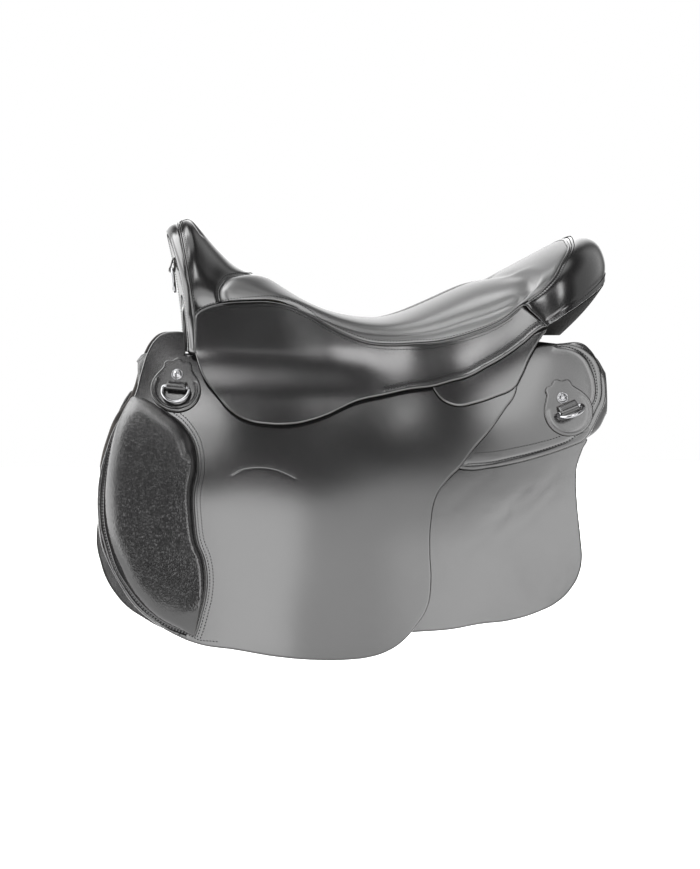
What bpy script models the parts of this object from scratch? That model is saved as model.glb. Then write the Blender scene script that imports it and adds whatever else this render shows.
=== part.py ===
"""A leather trail saddle: tree, seat, skirts, flaps, panels, straps and rings.

X runs from the pommel (negative) to the cantle (positive), the horse's left side is at -Y and +Z is up.
The origin is the point on the horse's back that the gullet stands over. Lengths below are millimetres.
"""

import math

import bmesh
import bpy
from mathutils import Matrix, Vector

MM = 0.001
SIDES = ((-1, "left"), (1, "right"))

# Side form: half breadth of the saddle over the sweat flaps' inner faces, down the columns from the top
FORM_X = (-300, -200, -100, 0, 100, 200, 300)
FORM_Z = (140, 60, -20, -100, -180, -260, -340)
FORM_HALF_BREADTH = (
    (28, 42, 48, 49, 66, 102, 118),
    (62, 84, 94, 98, 108, 132, 140),
    (104, 122, 133, 137, 140, 148, 152),
    (136, 153, 163, 167, 167, 167, 165),
    (154, 172, 183, 187, 185, 179, 172),
    (165, 184, 194, 197, 195, 187, 177),
    (168, 187, 196, 198, 197, 189, 178),
)

# Leather layers: how far each one's inner face stands off the form, and how thick it is
SWEAT_OFF, SWEAT_THICK = 0.0, 3.0
FACING_OFF, FACING_THICK = 3.9, 3.0
BILLET_OFF, BILLET_THICK = 4.4, 3.6
FLAP_OFF, FLAP_THICK = 10.2, 3.4
JOCKEY_OFF, JOCKEY_THICK = 15.0, 2.8
SKIRT_OFF, SKIRT_THICK = 18.9, 3.2
SKIRT_RISE = 7.4
BILLET_PIVOT_Z = 42
BILLETS = (("front", -122), ("rear", -8))
PATTERN_GRID = 40
PATTERN_STEPS = 2
LAYER_GAP = 0.7

# Seat: rows of top x, top z, seam x, seam z, side fullness and top fullness
SEAT_STATIONS = (
    (-209, 214, -190, 110, 1.75, 1.75),
    (-203, 223, -188, 113, 1.7, 1.75),
    (-191, 227, -184, 117, 1.65, 1.75),
    (-179, 217, -177, 121, 1.65, 1.8),
    (-160, 195, -165, 125, 1.7, 1.8),
    (-140, 176, -148, 128, 1.8, 1.85),
    (-114, 161, -128, 129, 1.9, 1.9),
    (-88, 143, -104, 129, 2.0, 2.0),
    (-65, 128, -78, 123, 2.2, 2.0),
    (-42, 117, -52, 110, 2.4, 2.0),
    (-18, 110, -26, 95, 2.5, 2.0),
    (8, 106, 4, 83, 2.5, 2.0),
    (34, 106, 32, 80, 2.5, 2.0),
    (62, 113, 60, 81, 2.5, 2.0),
    (98, 128, 88, 83, 2.5, 2.0),
    (137, 146, 114, 89, 2.5, 2.0),
    (178, 164, 138, 97, 2.4, 2.1),
    (220, 186, 161, 108, 2.2, 2.2),
    (258, 206, 184, 125, 2.0, 2.2),
    (279, 210, 192, 119, 1.9, 2.2),
    (296, 202, 199, 112, 1.9, 2.2),
    (305, 183, 205, 105, 1.9, 2.2),
    (305, 158, 209, 101, 2.0, 2.2),
)
POMMEL_END = 6.0
CANTLE_SEAM = 18.0
CANTLE_END = 22.0
COVER_THICK = 2.4
CANTLE_COVER_THICK = 2.8
FOAM_SIDE = 21.5
FOAM_POMMEL, FOAM_SEAT, FOAM_CANTLE = 9.0, 20.0, 15.0
TREE_THICK = 7.5
TREE_FOOT_Z = 66
TREE_REAR_LIFT = 25
TREE_FOOT_OFF = 7.6
FOAM_GAP = 1.4
COVER_GAP_SIDE, COVER_GAP_TOP = 4.4, 4.6
CORE = (2.2, 21.0, 15)
CORE_ANGLE = 78
CUSHION_RISE = 5.0
CHANNEL_DROP = 4.5
CHANNEL_HALF = 14.0

# Pommel front: the arch over the withers and the lean of the front face
ARCH_FOOT_Z, ARCH_TOP_Z, ARCH_HALF = 70, 124, 60
FACING_START = 0.9
LEG_SHARE = 0.3
FRONT_FOOT_X = -196
FRONT_LEAN = 0.0011
FRONT_THICK = 2.8

# Fold lines, as x, half breadth and z: each flap bends below its skirt, each skirt along the seat seam
FLAP_FOLD = ((-270, 124.8, -5), (140, 168.5, -30))
SKIRT_FOLD = ((-188, 79, 131), (188, 128, 131))
FOLD_GAP = 1.4
SEAM_GAP = 2.4

# Stirrup bars on the tree's rails, seen along the saddle: x along it and y out from the rail
STIRRUP_BAR_X, STIRRUP_BAR_Z, RAIL_OFF = -104, 82, 9.8
BAR_HEIGHT = 13
BAR_PROFILE = (
    (-46, 0), (46, 0), (46, 2.4), (-37, 2.4), (-37, 6.8), (32, 6.8),
    (36, 7.4), (36, 9.8), (-42, 9.8), (-46, 7.0),
)
CATCH_PROFILE = ((-5, -4, True), (14, -4, True), (17, -1), (17, 2), (14, 4, True), (-5, 4, True))
CATCH_X, CATCH_OUT, CATCH_THICK = 34, 4.6, 3.2

# Panels: rows of x, the middle's z, half length down the side and thickness
PANEL_STATIONS = (
    (-252, 42, 26, 14), (-244, 40, 38, 24), (-222, 34, 48, 31), (-180, 26, 54, 34), (-120, 24, 58, 35),
    (-60, 22, 60, 36), (0, 20, 60, 36), (60, 20, 60, 36), (120, 22, 62, 37), (180, 26, 64, 38),
    (222, 26, 60, 38), (252, 26, 54, 34), (270, 26, 42, 26), (279, 26, 24, 14),
)
PANEL_OFF = 5.5

# Lining of the gullet channel, and the steel arch in the tree's head
LINING_ENDS, LINING_HALF, LINING_LOW_Z, LINING_THICK = (-158, 236), 24, 58, 1.6
PLATE_X, PLATE_FOOT_Z, PLATE_HALF, PLATE_RISE, PLATE_THICK, PLATE_WIDTH = -172, 92, 58, 54, 3.2, 24

# Leather under the cantle: where its lower border runs
BACK_SEAM_X, BACK_REACH, BACK_LOW_Z = 188, 67, 92

# Rings, their leather chapes, rosettes and screws
RING_WIRE = 4.2
RING_HALF_WIDTH = 15.0
RING_DROP = 18.5
CHAPE_LENGTH = 22.0
CHAPE_WALL = 2.3
BAR_CLEARANCE = 0.5
ROSETTE_THICK = 2.6
ROSETTE_DISC = 28.0
ROSETTE_LOBE = 20.5
ROSETTE_CUSP = 17.5
SCREW_UP = 19.0
SCREW_SHANK = 2.1
SCREW_FLAT, SCREW_HEAD = 3.4, 5.2
WASHER_RIM = 6.6
SCREW_HOLE_GAP = 0.5
BAR_UP = 3.0
CHAPE_CLEAR = 1.1
SIDE_COSINE = 0.894

# Places of the rosettes: x, z, how far they stand off the form, their turn and how far the ring is raised
RINGS = (
    ("front", -211.5, 28.5, FLAP_OFF + FLAP_THICK + LAYER_GAP, -6, 4),
    ("rear", 231.0, 3.0, FACING_OFF + FACING_THICK + LAYER_GAP, 22, 62),
)
POMMEL_RING_Z, POMMEL_RING_HALF_WIDTH, POMMEL_RING_DROP, POMMEL_RING_RAISED = 167, 16, 26, -7

SADDLE = bpy.data.collections.new("trail_saddle")
CUTTERS = bpy.data.collections.new("cutters")

LEATHER = {"rgba": (0.035, 0.035, 0.036, 1), "roughness": 0.32, "metallic": 0.0}
SOFT_LEATHER = {"rgba": (0.022, 0.022, 0.023, 1), "roughness": 0.5, "metallic": 0.0}
FOAM = {"rgba": (0.62, 0.58, 0.48, 1), "roughness": 0.95, "metallic": 0.0}
WOOD = {"rgba": (0.42, 0.28, 0.16, 1), "roughness": 0.6, "metallic": 0.0}
STEEL = {"rgba": (0.45, 0.45, 0.46, 1), "roughness": 0.35, "metallic": 1.0}
CHROME = {"rgba": (0.82, 0.82, 0.83, 1), "roughness": 0.1, "metallic": 1.0}


def catmull(values, t):
    """Smooth value at place t along evenly spaced values."""
    t = min(max(t, 0.0), len(values) - 1.000001)
    i = int(t)
    f = t - i
    a = values[i - 1] if i else 2 * values[0] - values[1]
    b, c = values[i], values[i + 1]
    d = values[i + 2] if i + 2 < len(values) else 2 * c - b
    square = 2 * a - 5 * b + 4 * c - d
    cube = 3 * b - a - 3 * c + d
    return 0.5 * (2 * b + (c - a) * f + square * f * f + cube * f**3)


def smooth(a, b, x):
    """0 below a, 1 above b, and a smooth step between."""
    t = min(max((x - a) / (b - a), 0.0), 1.0)
    return t * t * (3 - 2 * t)


def form(x, z):
    """Half breadth of the side form at x and z."""
    column = (x - FORM_X[0]) / (FORM_X[1] - FORM_X[0])
    row = (FORM_Z[0] - z) / (FORM_Z[0] - FORM_Z[1])
    return catmull([catmull(breadths, column) for breadths in FORM_HALF_BREADTH], row)


def skirt_off(x, z):
    """The skirt stands further off over the stirrup bar than along its lower and rear edges."""
    return SKIRT_OFF + SKIRT_RISE * smooth(15, 75, z) * smooth(80, -40, x)


def level(off):
    """Standoff that is the same all over a piece."""
    return lambda x, z: off


def on_form(x, z, off, side):
    """Point that stands off the form at x and z, in metres."""
    return Vector((x, side * (form(x, z) + off), z)) * MM


def form_frame(x, z, off, side, turn=0.0):
    """Frame on the form: local Y up it, local Z out of it, local X to the cantle on the left side.

    On the right side local X runs to the pommel. A turn above 0 raises the end nearer the cantle.
    """
    along = (on_form(x - 4 * side, z, off, side) - on_form(x + 4 * side, z, off, side)).normalized()
    up = on_form(x, z + 4, off, side) - on_form(x, z - 4, off, side)
    out = along.cross(up).normalized()
    up = out.cross(along)
    matrix = Matrix((along, up, out)).transposed().to_4x4()
    matrix.translation = on_form(x, z, off, side)
    return matrix @ Matrix.Rotation(math.radians(-side * turn), 4, "Z")


def pivot_at(piece, point):
    """Moves a piece's origin to a point on its joint's axis and leaves the piece where it is."""
    piece.data.transform(Matrix.Translation(-point))
    piece.location = point
    return piece


def fold_point(fold, side, share=0.5):
    """Point part of the way along a fold line, on the side asked for."""
    x, y, z = (a + (b - a) * share for a, b in zip(*fold))
    return Vector((x, side * y, z)) * MM


def material(name, look):
    """Material of one piece, from one of the looks above."""
    made = bpy.data.materials.get(name)
    if made is None:
        made = bpy.data.materials.new(name)
        made.use_nodes = True
        made.diffuse_color = look["rgba"]
        shader = made.node_tree.nodes["Principled BSDF"]
        shader.inputs["Base Color"].default_value = look["rgba"]
        shader.inputs["Roughness"].default_value = look["roughness"]
        shader.inputs["Metallic"].default_value = look["metallic"]
    return made


def add(name, mesh, look, matrix=None, sharp=35):
    """Names a mesh as one piece of the saddle and gives it a material of its own."""
    mesh.name = name
    piece = bpy.data.objects.new(name, mesh)
    SADDLE.objects.link(piece)
    mesh.materials.clear()
    mesh.materials.append(material(name, look))
    if sharp:
        mesh.shade_smooth()
        mesh.set_sharp_from_angle(angle=math.radians(sharp))
    if matrix is not None:
        piece.matrix_world = matrix
    return piece


def mesh_of(curve_object):
    """Mesh of a curve object, its caps welded, with the curve removed."""
    bpy.context.scene.collection.objects.link(curve_object)
    depsgraph = bpy.context.evaluated_depsgraph_get()
    mesh = bpy.data.meshes.new_from_object(curve_object.evaluated_get(depsgraph))
    bpy.data.objects.remove(curve_object)
    shape = bmesh.new()
    shape.from_mesh(mesh)
    bmesh.ops.remove_doubles(shape, verts=shape.verts, dist=0.00001)
    shape.to_mesh(mesh)
    shape.free()
    return mesh


def flat_curve(outlines, extrude=0.0):
    """Filled 2D curve of outlines whose points are (x, y) or, at a corner, (x, y, True)."""
    curve = bpy.data.curves.new("outline", "CURVE")
    curve.dimensions = "2D"
    curve.fill_mode = "BOTH"
    curve.resolution_u = PATTERN_STEPS
    curve.extrude = extrude * MM / 2
    for outline in outlines:
        spline = curve.splines.new("BEZIER")
        spline.bezier_points.add(len(outline) - 1)
        spline.use_cyclic_u = True
        for knot, (x, y, *corner) in zip(spline.bezier_points, outline):
            knot.co = Vector((x, y, 0)) * MM
            knot.handle_left_type = knot.handle_right_type = "VECTOR" if corner else "AUTO"
    return bpy.data.objects.new("outline", curve)


def pattern(outline, grid=PATTERN_GRID):
    """Flat leather pattern as a bmesh, cut along the form's grid lines so that it can bend."""
    mesh = mesh_of(flat_curve([outline]))
    shape = bmesh.new()
    shape.from_mesh(mesh)
    bpy.data.meshes.remove(mesh)
    bmesh.ops.dissolve_faces(shape, faces=shape.faces[:])
    for axis in (0, 1):
        low = min(v.co[axis] for v in shape.verts) / MM
        high = max(v.co[axis] for v in shape.verts) / MM
        for line in range(math.ceil(low / grid) * grid, math.floor(high) + 1, grid):
            place = Vector((0, 0, 0))
            normal = Vector((0, 0, 0))
            place[axis] = line * MM
            normal[axis] = 1
            cut = shape.verts[:] + shape.edges[:] + shape.faces[:]
            bmesh.ops.bisect_plane(shape, geom=cut, dist=0.0000005, plane_co=place, plane_no=normal)
    bmesh.ops.remove_doubles(shape, verts=shape.verts, dist=0.0004)
    bmesh.ops.dissolve_degenerate(shape, edges=shape.edges[:], dist=0.0003)
    bmesh.ops.triangulate(shape, faces=shape.faces[:])
    return shape


def face_out(shape, side):
    """Turns an open sheet's faces outward, away from the horse."""
    bmesh.ops.recalc_face_normals(shape, faces=shape.faces[:])
    if sum(face.normal.y * face.calc_area() for face in shape.faces) * side < 0:
        bmesh.ops.reverse_faces(shape, faces=shape.faces[:])


def shell(piece, thickness, offset=1.0):
    """Gives an open surface its thickness, outward from it at an offset of 1 and inward at -1."""
    solid = piece.modifiers.new("thickness", "SOLIDIFY")
    solid.thickness = thickness * MM
    solid.offset = offset
    solid.use_even_offset = True
    return piece


def sheet(name, outline, off, thickness, side, look):
    """Leather cut flat to an outline of (x, z) and bent onto the side form."""
    shape = pattern(outline)
    for v in shape.verts:
        x, z = v.co.x / MM, v.co.y / MM
        v.co = on_form(x, z, off(x, z), side)
    face_out(shape, side)
    mesh = bpy.data.meshes.new(name)
    shape.to_mesh(mesh)
    shape.free()
    return shell(add(name, mesh, look), thickness)


def pad(name, outline, off, height, side, look):
    """Stuffed pad on the side form: flat underneath, with its top raised by height(x, z)."""
    shape = pattern(outline, 24)
    raised = bmesh.ops.extrude_face_region(shape, geom=shape.faces[:])["geom"]
    tops = {v for v in raised if isinstance(v, bmesh.types.BMVert)}
    for v in shape.verts:
        x, z = v.co.x / MM, v.co.y / MM
        v.co = on_form(x, z, off + (height(x, z) if v in tops else 0), side)
    bmesh.ops.recalc_face_normals(shape, faces=shape.faces[:])
    mesh = bpy.data.meshes.new(name)
    shape.to_mesh(mesh)
    shape.free()
    return add(name, mesh, look)


def loft(name, rows, look, closed=False, out=(0, 0, 1)):
    """Surface through rows of points, faced along out. A closed one has rings for rows and flat ends."""
    shape = bmesh.new()
    grid = [[shape.verts.new(Vector(p) * MM) for p in row] for row in rows]
    count = len(rows[0])
    for first, second in zip(grid, grid[1:]):
        for j in range(count if closed else count - 1):
            k = (j + 1) % count
            shape.faces.new((first[j], first[k], second[k], second[j]))
    if closed:
        shape.faces.new(grid[0])
        shape.faces.new(grid[-1][::-1])
    bmesh.ops.recalc_face_normals(shape, faces=shape.faces[:])
    if not closed and sum(face.normal.dot(out) * face.calc_area() for face in shape.faces) < 0:
        bmesh.ops.reverse_faces(shape, faces=shape.faces[:])
    mesh = bpy.data.meshes.new(name)
    shape.to_mesh(mesh)
    shape.free()
    return add(name, mesh, look)


def between(name, outer, inner, look):
    """Solid between two surfaces given as rows of points, closed round their borders."""
    shape = bmesh.new()
    sheets = [[[shape.verts.new(Vector(p) * MM) for p in row] for row in rows] for rows in (outer, inner)]
    last_row, last = len(outer) - 1, len(outer[0]) - 1
    for grid in sheets:
        for i in range(last_row):
            for j in range(last):
                shape.faces.new((grid[i][j], grid[i][j + 1], grid[i + 1][j + 1], grid[i + 1][j]))
    border = [(0, j) for j in range(last)] + [(i, last) for i in range(last_row)]
    border += [(last_row, j) for j in range(last, 0, -1)] + [(i, 0) for i in range(last_row, 0, -1)]
    for (i, j), (k, m) in zip(border, border[1:] + border[:1]):
        shape.faces.new((sheets[0][i][j], sheets[0][k][m], sheets[1][k][m], sheets[1][i][j]))
    bmesh.ops.recalc_face_normals(shape, faces=shape.faces[:])
    mesh = bpy.data.meshes.new(name)
    shape.to_mesh(mesh)
    shape.free()
    return add(name, mesh, look)


def steps(start, end, count):
    """Evenly spaced values, both ends among them."""
    return [start + (end - start) * i / count for i in range(count + 1)]


def seat_point(u, angle, side_inset=0.0, top_inset=0.0):
    """Point of the seat at station u and angle, -90 on the left seam, 0 on top and 90 on the right seam."""
    top_x, top_z, seam_x, seam_z, across, over = (catmull(column, u) for column in zip(*SEAT_STATIONS))
    half = form(seam_x, seam_z) + skirt_off(seam_x, seam_z) + SKIRT_THICK - side_inset
    rise = math.hypot(top_x - seam_x, top_z - seam_z)
    share = 1 - top_inset / rise
    phi = math.radians(angle)
    out = math.copysign(abs(math.sin(phi)) ** (2 / across), phi)
    up = max(math.cos(phi), 0.0) ** (2 / over) * share
    return Vector((seam_x + (top_x - seam_x) * up, half * out, seam_z + (top_z - seam_z) * up))


def foam_depth(u):
    """Foam under the top of the cover: thin on the pommel, thick on the seat."""
    seat = FOAM_POMMEL + (FOAM_SEAT - FOAM_POMMEL) * smooth(2, 8, u)
    return seat + (FOAM_CANTLE - FOAM_SEAT) * smooth(15, 19, u)


def cushion(u, y):
    """Rise of the two long seat cushions, with the channel between them."""
    along = smooth(6.2, 7.6, u) * (1 - smooth(15.6, 17.2, u))
    across = smooth(0, CHANNEL_HALF, abs(y)) * (1 - smooth(62, 88, abs(y)))
    channel = 1 - smooth(CHANNEL_HALF * 0.4, CHANNEL_HALF * 1.4, abs(y))
    return along * (CUSHION_RISE * across - CHANNEL_DROP * channel)


def seat_rows(start, end, rows, angles, side_inset, top_inset, relief=False):
    """Rows of points across the seat from one station to another, with or without the cushions."""
    grid = []
    for u in steps(start, end, rows):
        inset = top_inset(u) if callable(top_inset) else top_inset
        row = [seat_point(u, angle, side_inset, inset) for angle in angles]
        if relief:
            for p in row:
                p.z += cushion(u, p.y)
        grid.append(row)
    return grid


def build_seat():
    """Covers of pommel, seat and cantle, each pulled over the foam, and the tree under them."""
    wide = steps(-90, 90, 16)
    fine = steps(-90, 90, 26)
    pommel = seat_rows(FACING_START, POMMEL_END - 0.05, 7, wide, 0, 0)
    shell(loft("pommel_cover", pommel, LEATHER), COVER_THICK, -1)
    seat = seat_rows(POMMEL_END + 0.05, CANTLE_SEAM - 0.08, 15, fine, 0, 0, relief=True)
    shell(loft("seat_cover", seat, SOFT_LEATHER), COVER_THICK, -1)
    cantle = seat_rows(CANTLE_SEAM + 0.08, CANTLE_END, 7, wide, 0, 0)
    shell(loft("cantle_cover", cantle, LEATHER), CANTLE_COVER_THICK, -1)
    inner = steps(-CORE_ANGLE, CORE_ANGLE, 12)

    def under_cover(u):
        return COVER_GAP_TOP + 1.6 * CHANNEL_DROP * smooth(5.5, 7, u)

    outer_foam = seat_rows(*CORE, inner, COVER_GAP_SIDE, under_cover)
    inner_foam = seat_rows(*CORE, inner, FOAM_SIDE, foam_depth)
    for row in inner_foam:
        for p in row:
            p.z += FOAM_GAP
    between("seat_foam", outer_foam, inner_foam, FOAM)
    build_tree()


def build_tree():
    """Tree: a laminated shell under the foam whose sides run down to the rails that carry the straps."""
    rows = []
    for u in steps(*CORE):
        inside = [-90, *steps(-CORE_ANGLE, CORE_ANGLE, 12), 90]
        body = [seat_point(u, angle, FOAM_SIDE, foam_depth(u)) for angle in inside]
        seam_x, seam_z = body[0].x, body[0].z
        foot_z = TREE_FOOT_Z + TREE_REAR_LIFT * smooth(60, 140, seam_x)
        seam_half = abs(body[0].y)
        foot = []
        for share in (0.5, 1.0):
            z = seam_z + (foot_z - seam_z) * share
            rail = form(seam_x, z) + TREE_FOOT_OFF - 2.0 * (1 - share)
            foot.append((seam_x, seam_half + (rail - seam_half) * share, z))
        left = [Vector((x, -half, z)) for x, half, z in reversed(foot)]
        right = [Vector(point) for point in foot]
        rows.append(left + body + right)
    shell(loft("tree", rows, WOOD), TREE_THICK, -1)


def arch_outer(a):
    """Outer line of the pommel front: -1 to 1 over the head, past that down each leg."""
    if abs(a) <= 1:
        return seat_point(FACING_START, a * 90)
    top = seat_point(FACING_START, math.copysign(90, a))
    z = top.z + (ARCH_FOOT_Z - top.z) * (abs(a) - 1) / LEG_SHARE
    half = form(top.x, z) + skirt_off(top.x, z) + SKIRT_THICK
    return Vector((top.x, math.copysign(half, a), z))


def arch_inner(a):
    """Half breadth and height of the arch that stands over the withers."""
    turn = math.radians(90 * a / (1 + LEG_SHARE))
    half = ARCH_HALF * math.copysign(abs(math.sin(turn)) ** 0.9, a)
    return half, ARCH_FOOT_Z + (ARCH_TOP_Z - ARCH_FOOT_Z) * max(math.cos(turn), 0.0) ** 0.8


def front_x(z):
    """The front face leans forward as it rises."""
    return FRONT_FOOT_X - FRONT_LEAN * (z - ARCH_FOOT_Z) ** 2


def build_pommel_front():
    """Front facing: a band round the arch that turns in over the front and ends at the gullet."""
    rows = []
    for a in steps(-1 - LEG_SHARE, 1 + LEG_SHARE, 22):
        seam = arch_outer(a)
        half, z = arch_inner(a)
        inner = Vector((front_x(z) + 1, half, z))
        turned = seam.lerp(inner, 0.10)
        turned.x = front_x(turned.z)
        middle = seam.lerp(inner, 0.55)
        middle.x = front_x(middle.z)
        start = Vector((seam.x - 0.8, seam.y, seam.z))
        corner_x = min(max(front_x(seam.z) + 5, turned.x + 4), start.x - 3)
        corner = Vector((corner_x, seam.y, seam.z - 1.0))
        rows.append([start, corner, turned, middle, inner])
    shell(loft("pommel_facing", rows, LEATHER, out=(-1, 0, 0.3)), FRONT_THICK, -1)


def fold_z(x):
    """Height of the flap's fold line at x."""
    (x0, _, z0), (x1, _, z1) = FLAP_FOLD
    return z0 + (z1 - z0) * (x - x0) / (x1 - x0)


def skirt_outline():
    """Skirt: its top edge follows the seat seam, its lower edge the curve over the flap."""
    seam = (
        (-186, 115), (-177, 121), (-156, 126), (-135, 128), (-115, 129), (-95, 128), (-75, 122), (-55, 112),
        (-35, 100), (-15, 90), (6, 82.5), (28, 80), (48, 80), (68, 80.5), (90, 83), (112, 88), (132, 94),
        (153, 103), (172, 115), (184, 125),
    )
    top = [(x, z - SEAM_GAP) for x, z in seam]
    top[0] = (*top[0], True)
    top[-1] = (top[-1][0] - 1, top[-1][1], True)
    rear = [
        (208, 99.5, True), (198, 94), (181, 80), (160, 65), (139, 53), (118, 42), (96, 36), (77, 31),
        (52, 28),
    ]
    front = [
        (23, 22), (-9, 15), (-28, 7), (-41, 1), (-62, -6), (-82, -10), (-113, -10), (-133, -6),
        (-152, 5),
    ]
    return top + rear + front + [(-167, 23), (-179, 41), (-184, 57), (-187, 70, True)]


FLAP_REAR = ((61, -211), (66, -185), (66, -150), (68, -121), (76, -90), (90, -72), (106, -57), (119, -41))
FLAP_FRONT = (
    (-281, -16), (-289, -37), (-297, -65), (-300, -92), (-299, -117), (-295, -143), (-287, -163),
    (-275, -185), (-263, -203), (-250, -216), (-235, -227), (-218, -237), (-190, -248), (-151, -254),
    (-104, -262), (-58, -266), (-27, -266), (-6, -264), (15, -258), (33, -247), (47, -232),
)


def flap_outline():
    """Swinging part of the flap, up to its fold under the skirt."""
    top = [(x, fold_z(x) - FOLD_GAP, True) for x in (134, -272)]
    return [*FLAP_FRONT, *FLAP_REAR, *top]


def flap_head_outline():
    """Fixed upper part of the flap, from its nails on the tree down to the fold."""
    fold = [(x, fold_z(x) + FOLD_GAP * 0.6, True) for x in (-269, 137)]
    rear = [(143, -15), (161, 9), (170, 21), (173, 34)]
    top = [(168, 44), (120, 54), (0, 56), (-60, 56), (-150, 56), (-172, 65), (-199.5, 66, True)]
    front = [(-199.5, 92, True), (-210, 93), (-224, 91), (-233, 84), (-241, 72), (-249, 50), (-258, 20)]
    return [*fold, *rear, *top, *front]


def knee_roll_outline():
    """Knee roll: from the fold down along the flap's front edge."""
    top = [(-272, fold_z(-272) - 4, True), (-222, fold_z(-222) - 4, True)]
    seam = [
        (-208, -12), (-196, -25), (-186, -44), (-183, -70), (-182, -113), (-178, -140), (-174, -160),
        (-175, -178), (-181, -197), (-189, -220), (-195, -240),
    ]
    edge = [(x + 4.5, z + 2.5) for x, z in FLAP_FRONT[-10:1:-1]]
    return top + seam + edge + [(-277, -15)]


def outline_gap(outline):
    """How far a point is from an outline's nearest edge."""
    points = [Vector(point[:2]) for point in outline]

    def gap(x, z):
        here = Vector((x, z))
        best = math.inf
        for a, b in zip(points, points[1:] + points[:1]):
            run = b - a
            share = min(max((here - a).dot(run) / run.length_squared, 0), 1)
            best = min(best, (here - a - run * share).length)
        return best

    return gap


def sweat_outline():
    """Sweat flap: the large leather that lies against the horse under the flap."""
    front = [
        (-247, 36), (-251, 10), (-269, -20), (-284, -60), (-296, -98), (-301, -130), (-301, -142),
        (-297, -160),
    ]
    bottom = [
        (-291, -178), (-280, -196), (-267, -210), (-252, -220), (-230, -232), (-200, -241),
        (-150, -246),
    ]
    low = [
        (-90, -247), (-20, -243), (48, -239), (88, -237), (122, -232), (156, -229), (191, -220),
        (214, -209),
    ]
    rear = [
        (229, -195), (238, -180), (242, -163), (241, -141), (238, -100), (238, -74), (240, -58),
        (247, -40),
    ]
    top = [
        (252, -27), (226, -24), (170, -16), (110, 14), (60, 48), (0, 56), (-100, 58), (-160, 56),
        (-215, 50),
    ]
    return front + bottom + low + rear + top


def rear_facing_outline():
    """Rear facing: the leather under the cantle that carries the rear rosette."""
    rear = [
        (250, 80), (258, 74), (266, 62), (273, 44), (275, 28), (273, 12), (267, 0), (258, -17),
        (248, -30),
    ]
    bottom = [(237, -35), (214, -43), (193, -49), (173, -54), (139, -60), (113, -62)]
    return [(228, 80), *rear, *bottom, (101, -58), (104, -20), (122, 30), (150, 56), (190, 74)]


def jockey_outline():
    """Rear jockey: the tab behind the skirt."""
    tab = [(169, 30), (148, 20), (119, 11), (107, 9), (97, 11), (89, 15), (82, 23), (77, 34)]
    return [(206, 90, True), (189, 66), (178, 44), *tab, (76, 50), (90, 68, True), (130, 72), (170, 82)]


def billet_outline(x):
    """Girth strap whose middle is at x, pointed at its lower end."""
    half = 13
    return [
        (x - half, 52, True), (x - half, -176, True), (x - 7, -188), (x, -193), (x + 7, -188),
        (x + half, -176, True), (x + half, 52, True),
    ]


def rosette_outline():
    """Five scallops round the screw over a round disc, in the rosette's own plane."""
    lobes = []
    for k in range(5):
        angle = math.radians(2 + 44 * k)
        lobes.append((math.cos(angle) * ROSETTE_LOBE, SCREW_UP + math.sin(angle) * ROSETTE_LOBE))
        if k < 4:
            angle += math.radians(22)
            cusp = (math.cos(angle) * ROSETTE_CUSP, SCREW_UP + math.sin(angle) * ROSETTE_CUSP, True)
            lobes.append(cusp)
    disc = []
    for k in range(11):
        angle = math.radians(150 + 24 * k)
        disc.append((math.cos(angle) * ROSETTE_DISC, math.sin(angle) * ROSETTE_DISC))
    return lobes + disc


def bend_onto(mesh, x, z, off, side, turn):
    """Bends a flat mesh lying in its own XY plane onto the form round the point x, z."""
    angle = math.radians(turn)
    for v in mesh.vertices:
        along, up, out = (part / MM for part in v.co)
        dx = along * math.cos(angle) - up * math.sin(angle)
        dz = along * math.sin(angle) + up * math.cos(angle)
        slope = (form(x, z + 8) - form(x, z - 8)) / 16
        dz /= math.hypot(1, slope)
        v.co = on_form(x + dx, z + dz, off + out, side)


def build_rosette(place, x, z, off, turn, raised, side, word):
    """Scalloped rosette with its screw, and the ring that hangs from it in a chape."""
    shape = pattern(rosette_outline(), 20)
    mesh = bpy.data.meshes.new("rosette")
    shape.to_mesh(mesh)
    bend_onto(mesh, x, z, off, side, turn)
    shape.clear()
    shape.from_mesh(mesh)
    face_out(shape, side)
    shape.to_mesh(mesh)
    shape.free()
    rosette = shell(add(f"rosette_{place}_{word}", mesh, LEATHER), ROSETTE_THICK)
    angle = math.radians(turn)
    screw_x = x - math.sin(angle) * SCREW_UP
    screw_z = z + math.cos(angle) * SCREW_UP * SIDE_COSINE
    frame = form_frame(screw_x, screw_z, off + ROSETTE_THICK / SIDE_COSINE, side)
    build_screw(f"rosette_screw_{place}_{word}", frame)
    hole = cutter(f"screw_hole_{place}_{word}", SCREW_SHANK + SCREW_HOLE_GAP, 30, frame)
    carrier = f"flap_head_{word}" if place == "front" else f"rear_facing_{word}"
    for leather in (rosette, SADDLE.objects[carrier]):
        cut(leather, hole)
    bar_x = x - math.sin(angle) * BAR_UP
    bar_z = z + math.cos(angle) * BAR_UP
    bar_off = off + ROSETTE_THICK + RING_WIRE / 2 + BAR_CLEARANCE + CHAPE_WALL + CHAPE_CLEAR
    bar = form_frame(bar_x, bar_z, bar_off, side, turn)
    build_ring(f"d_ring_{place}_{word}", f"ring_chape_{place}_{word}", bar, raised)


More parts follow.
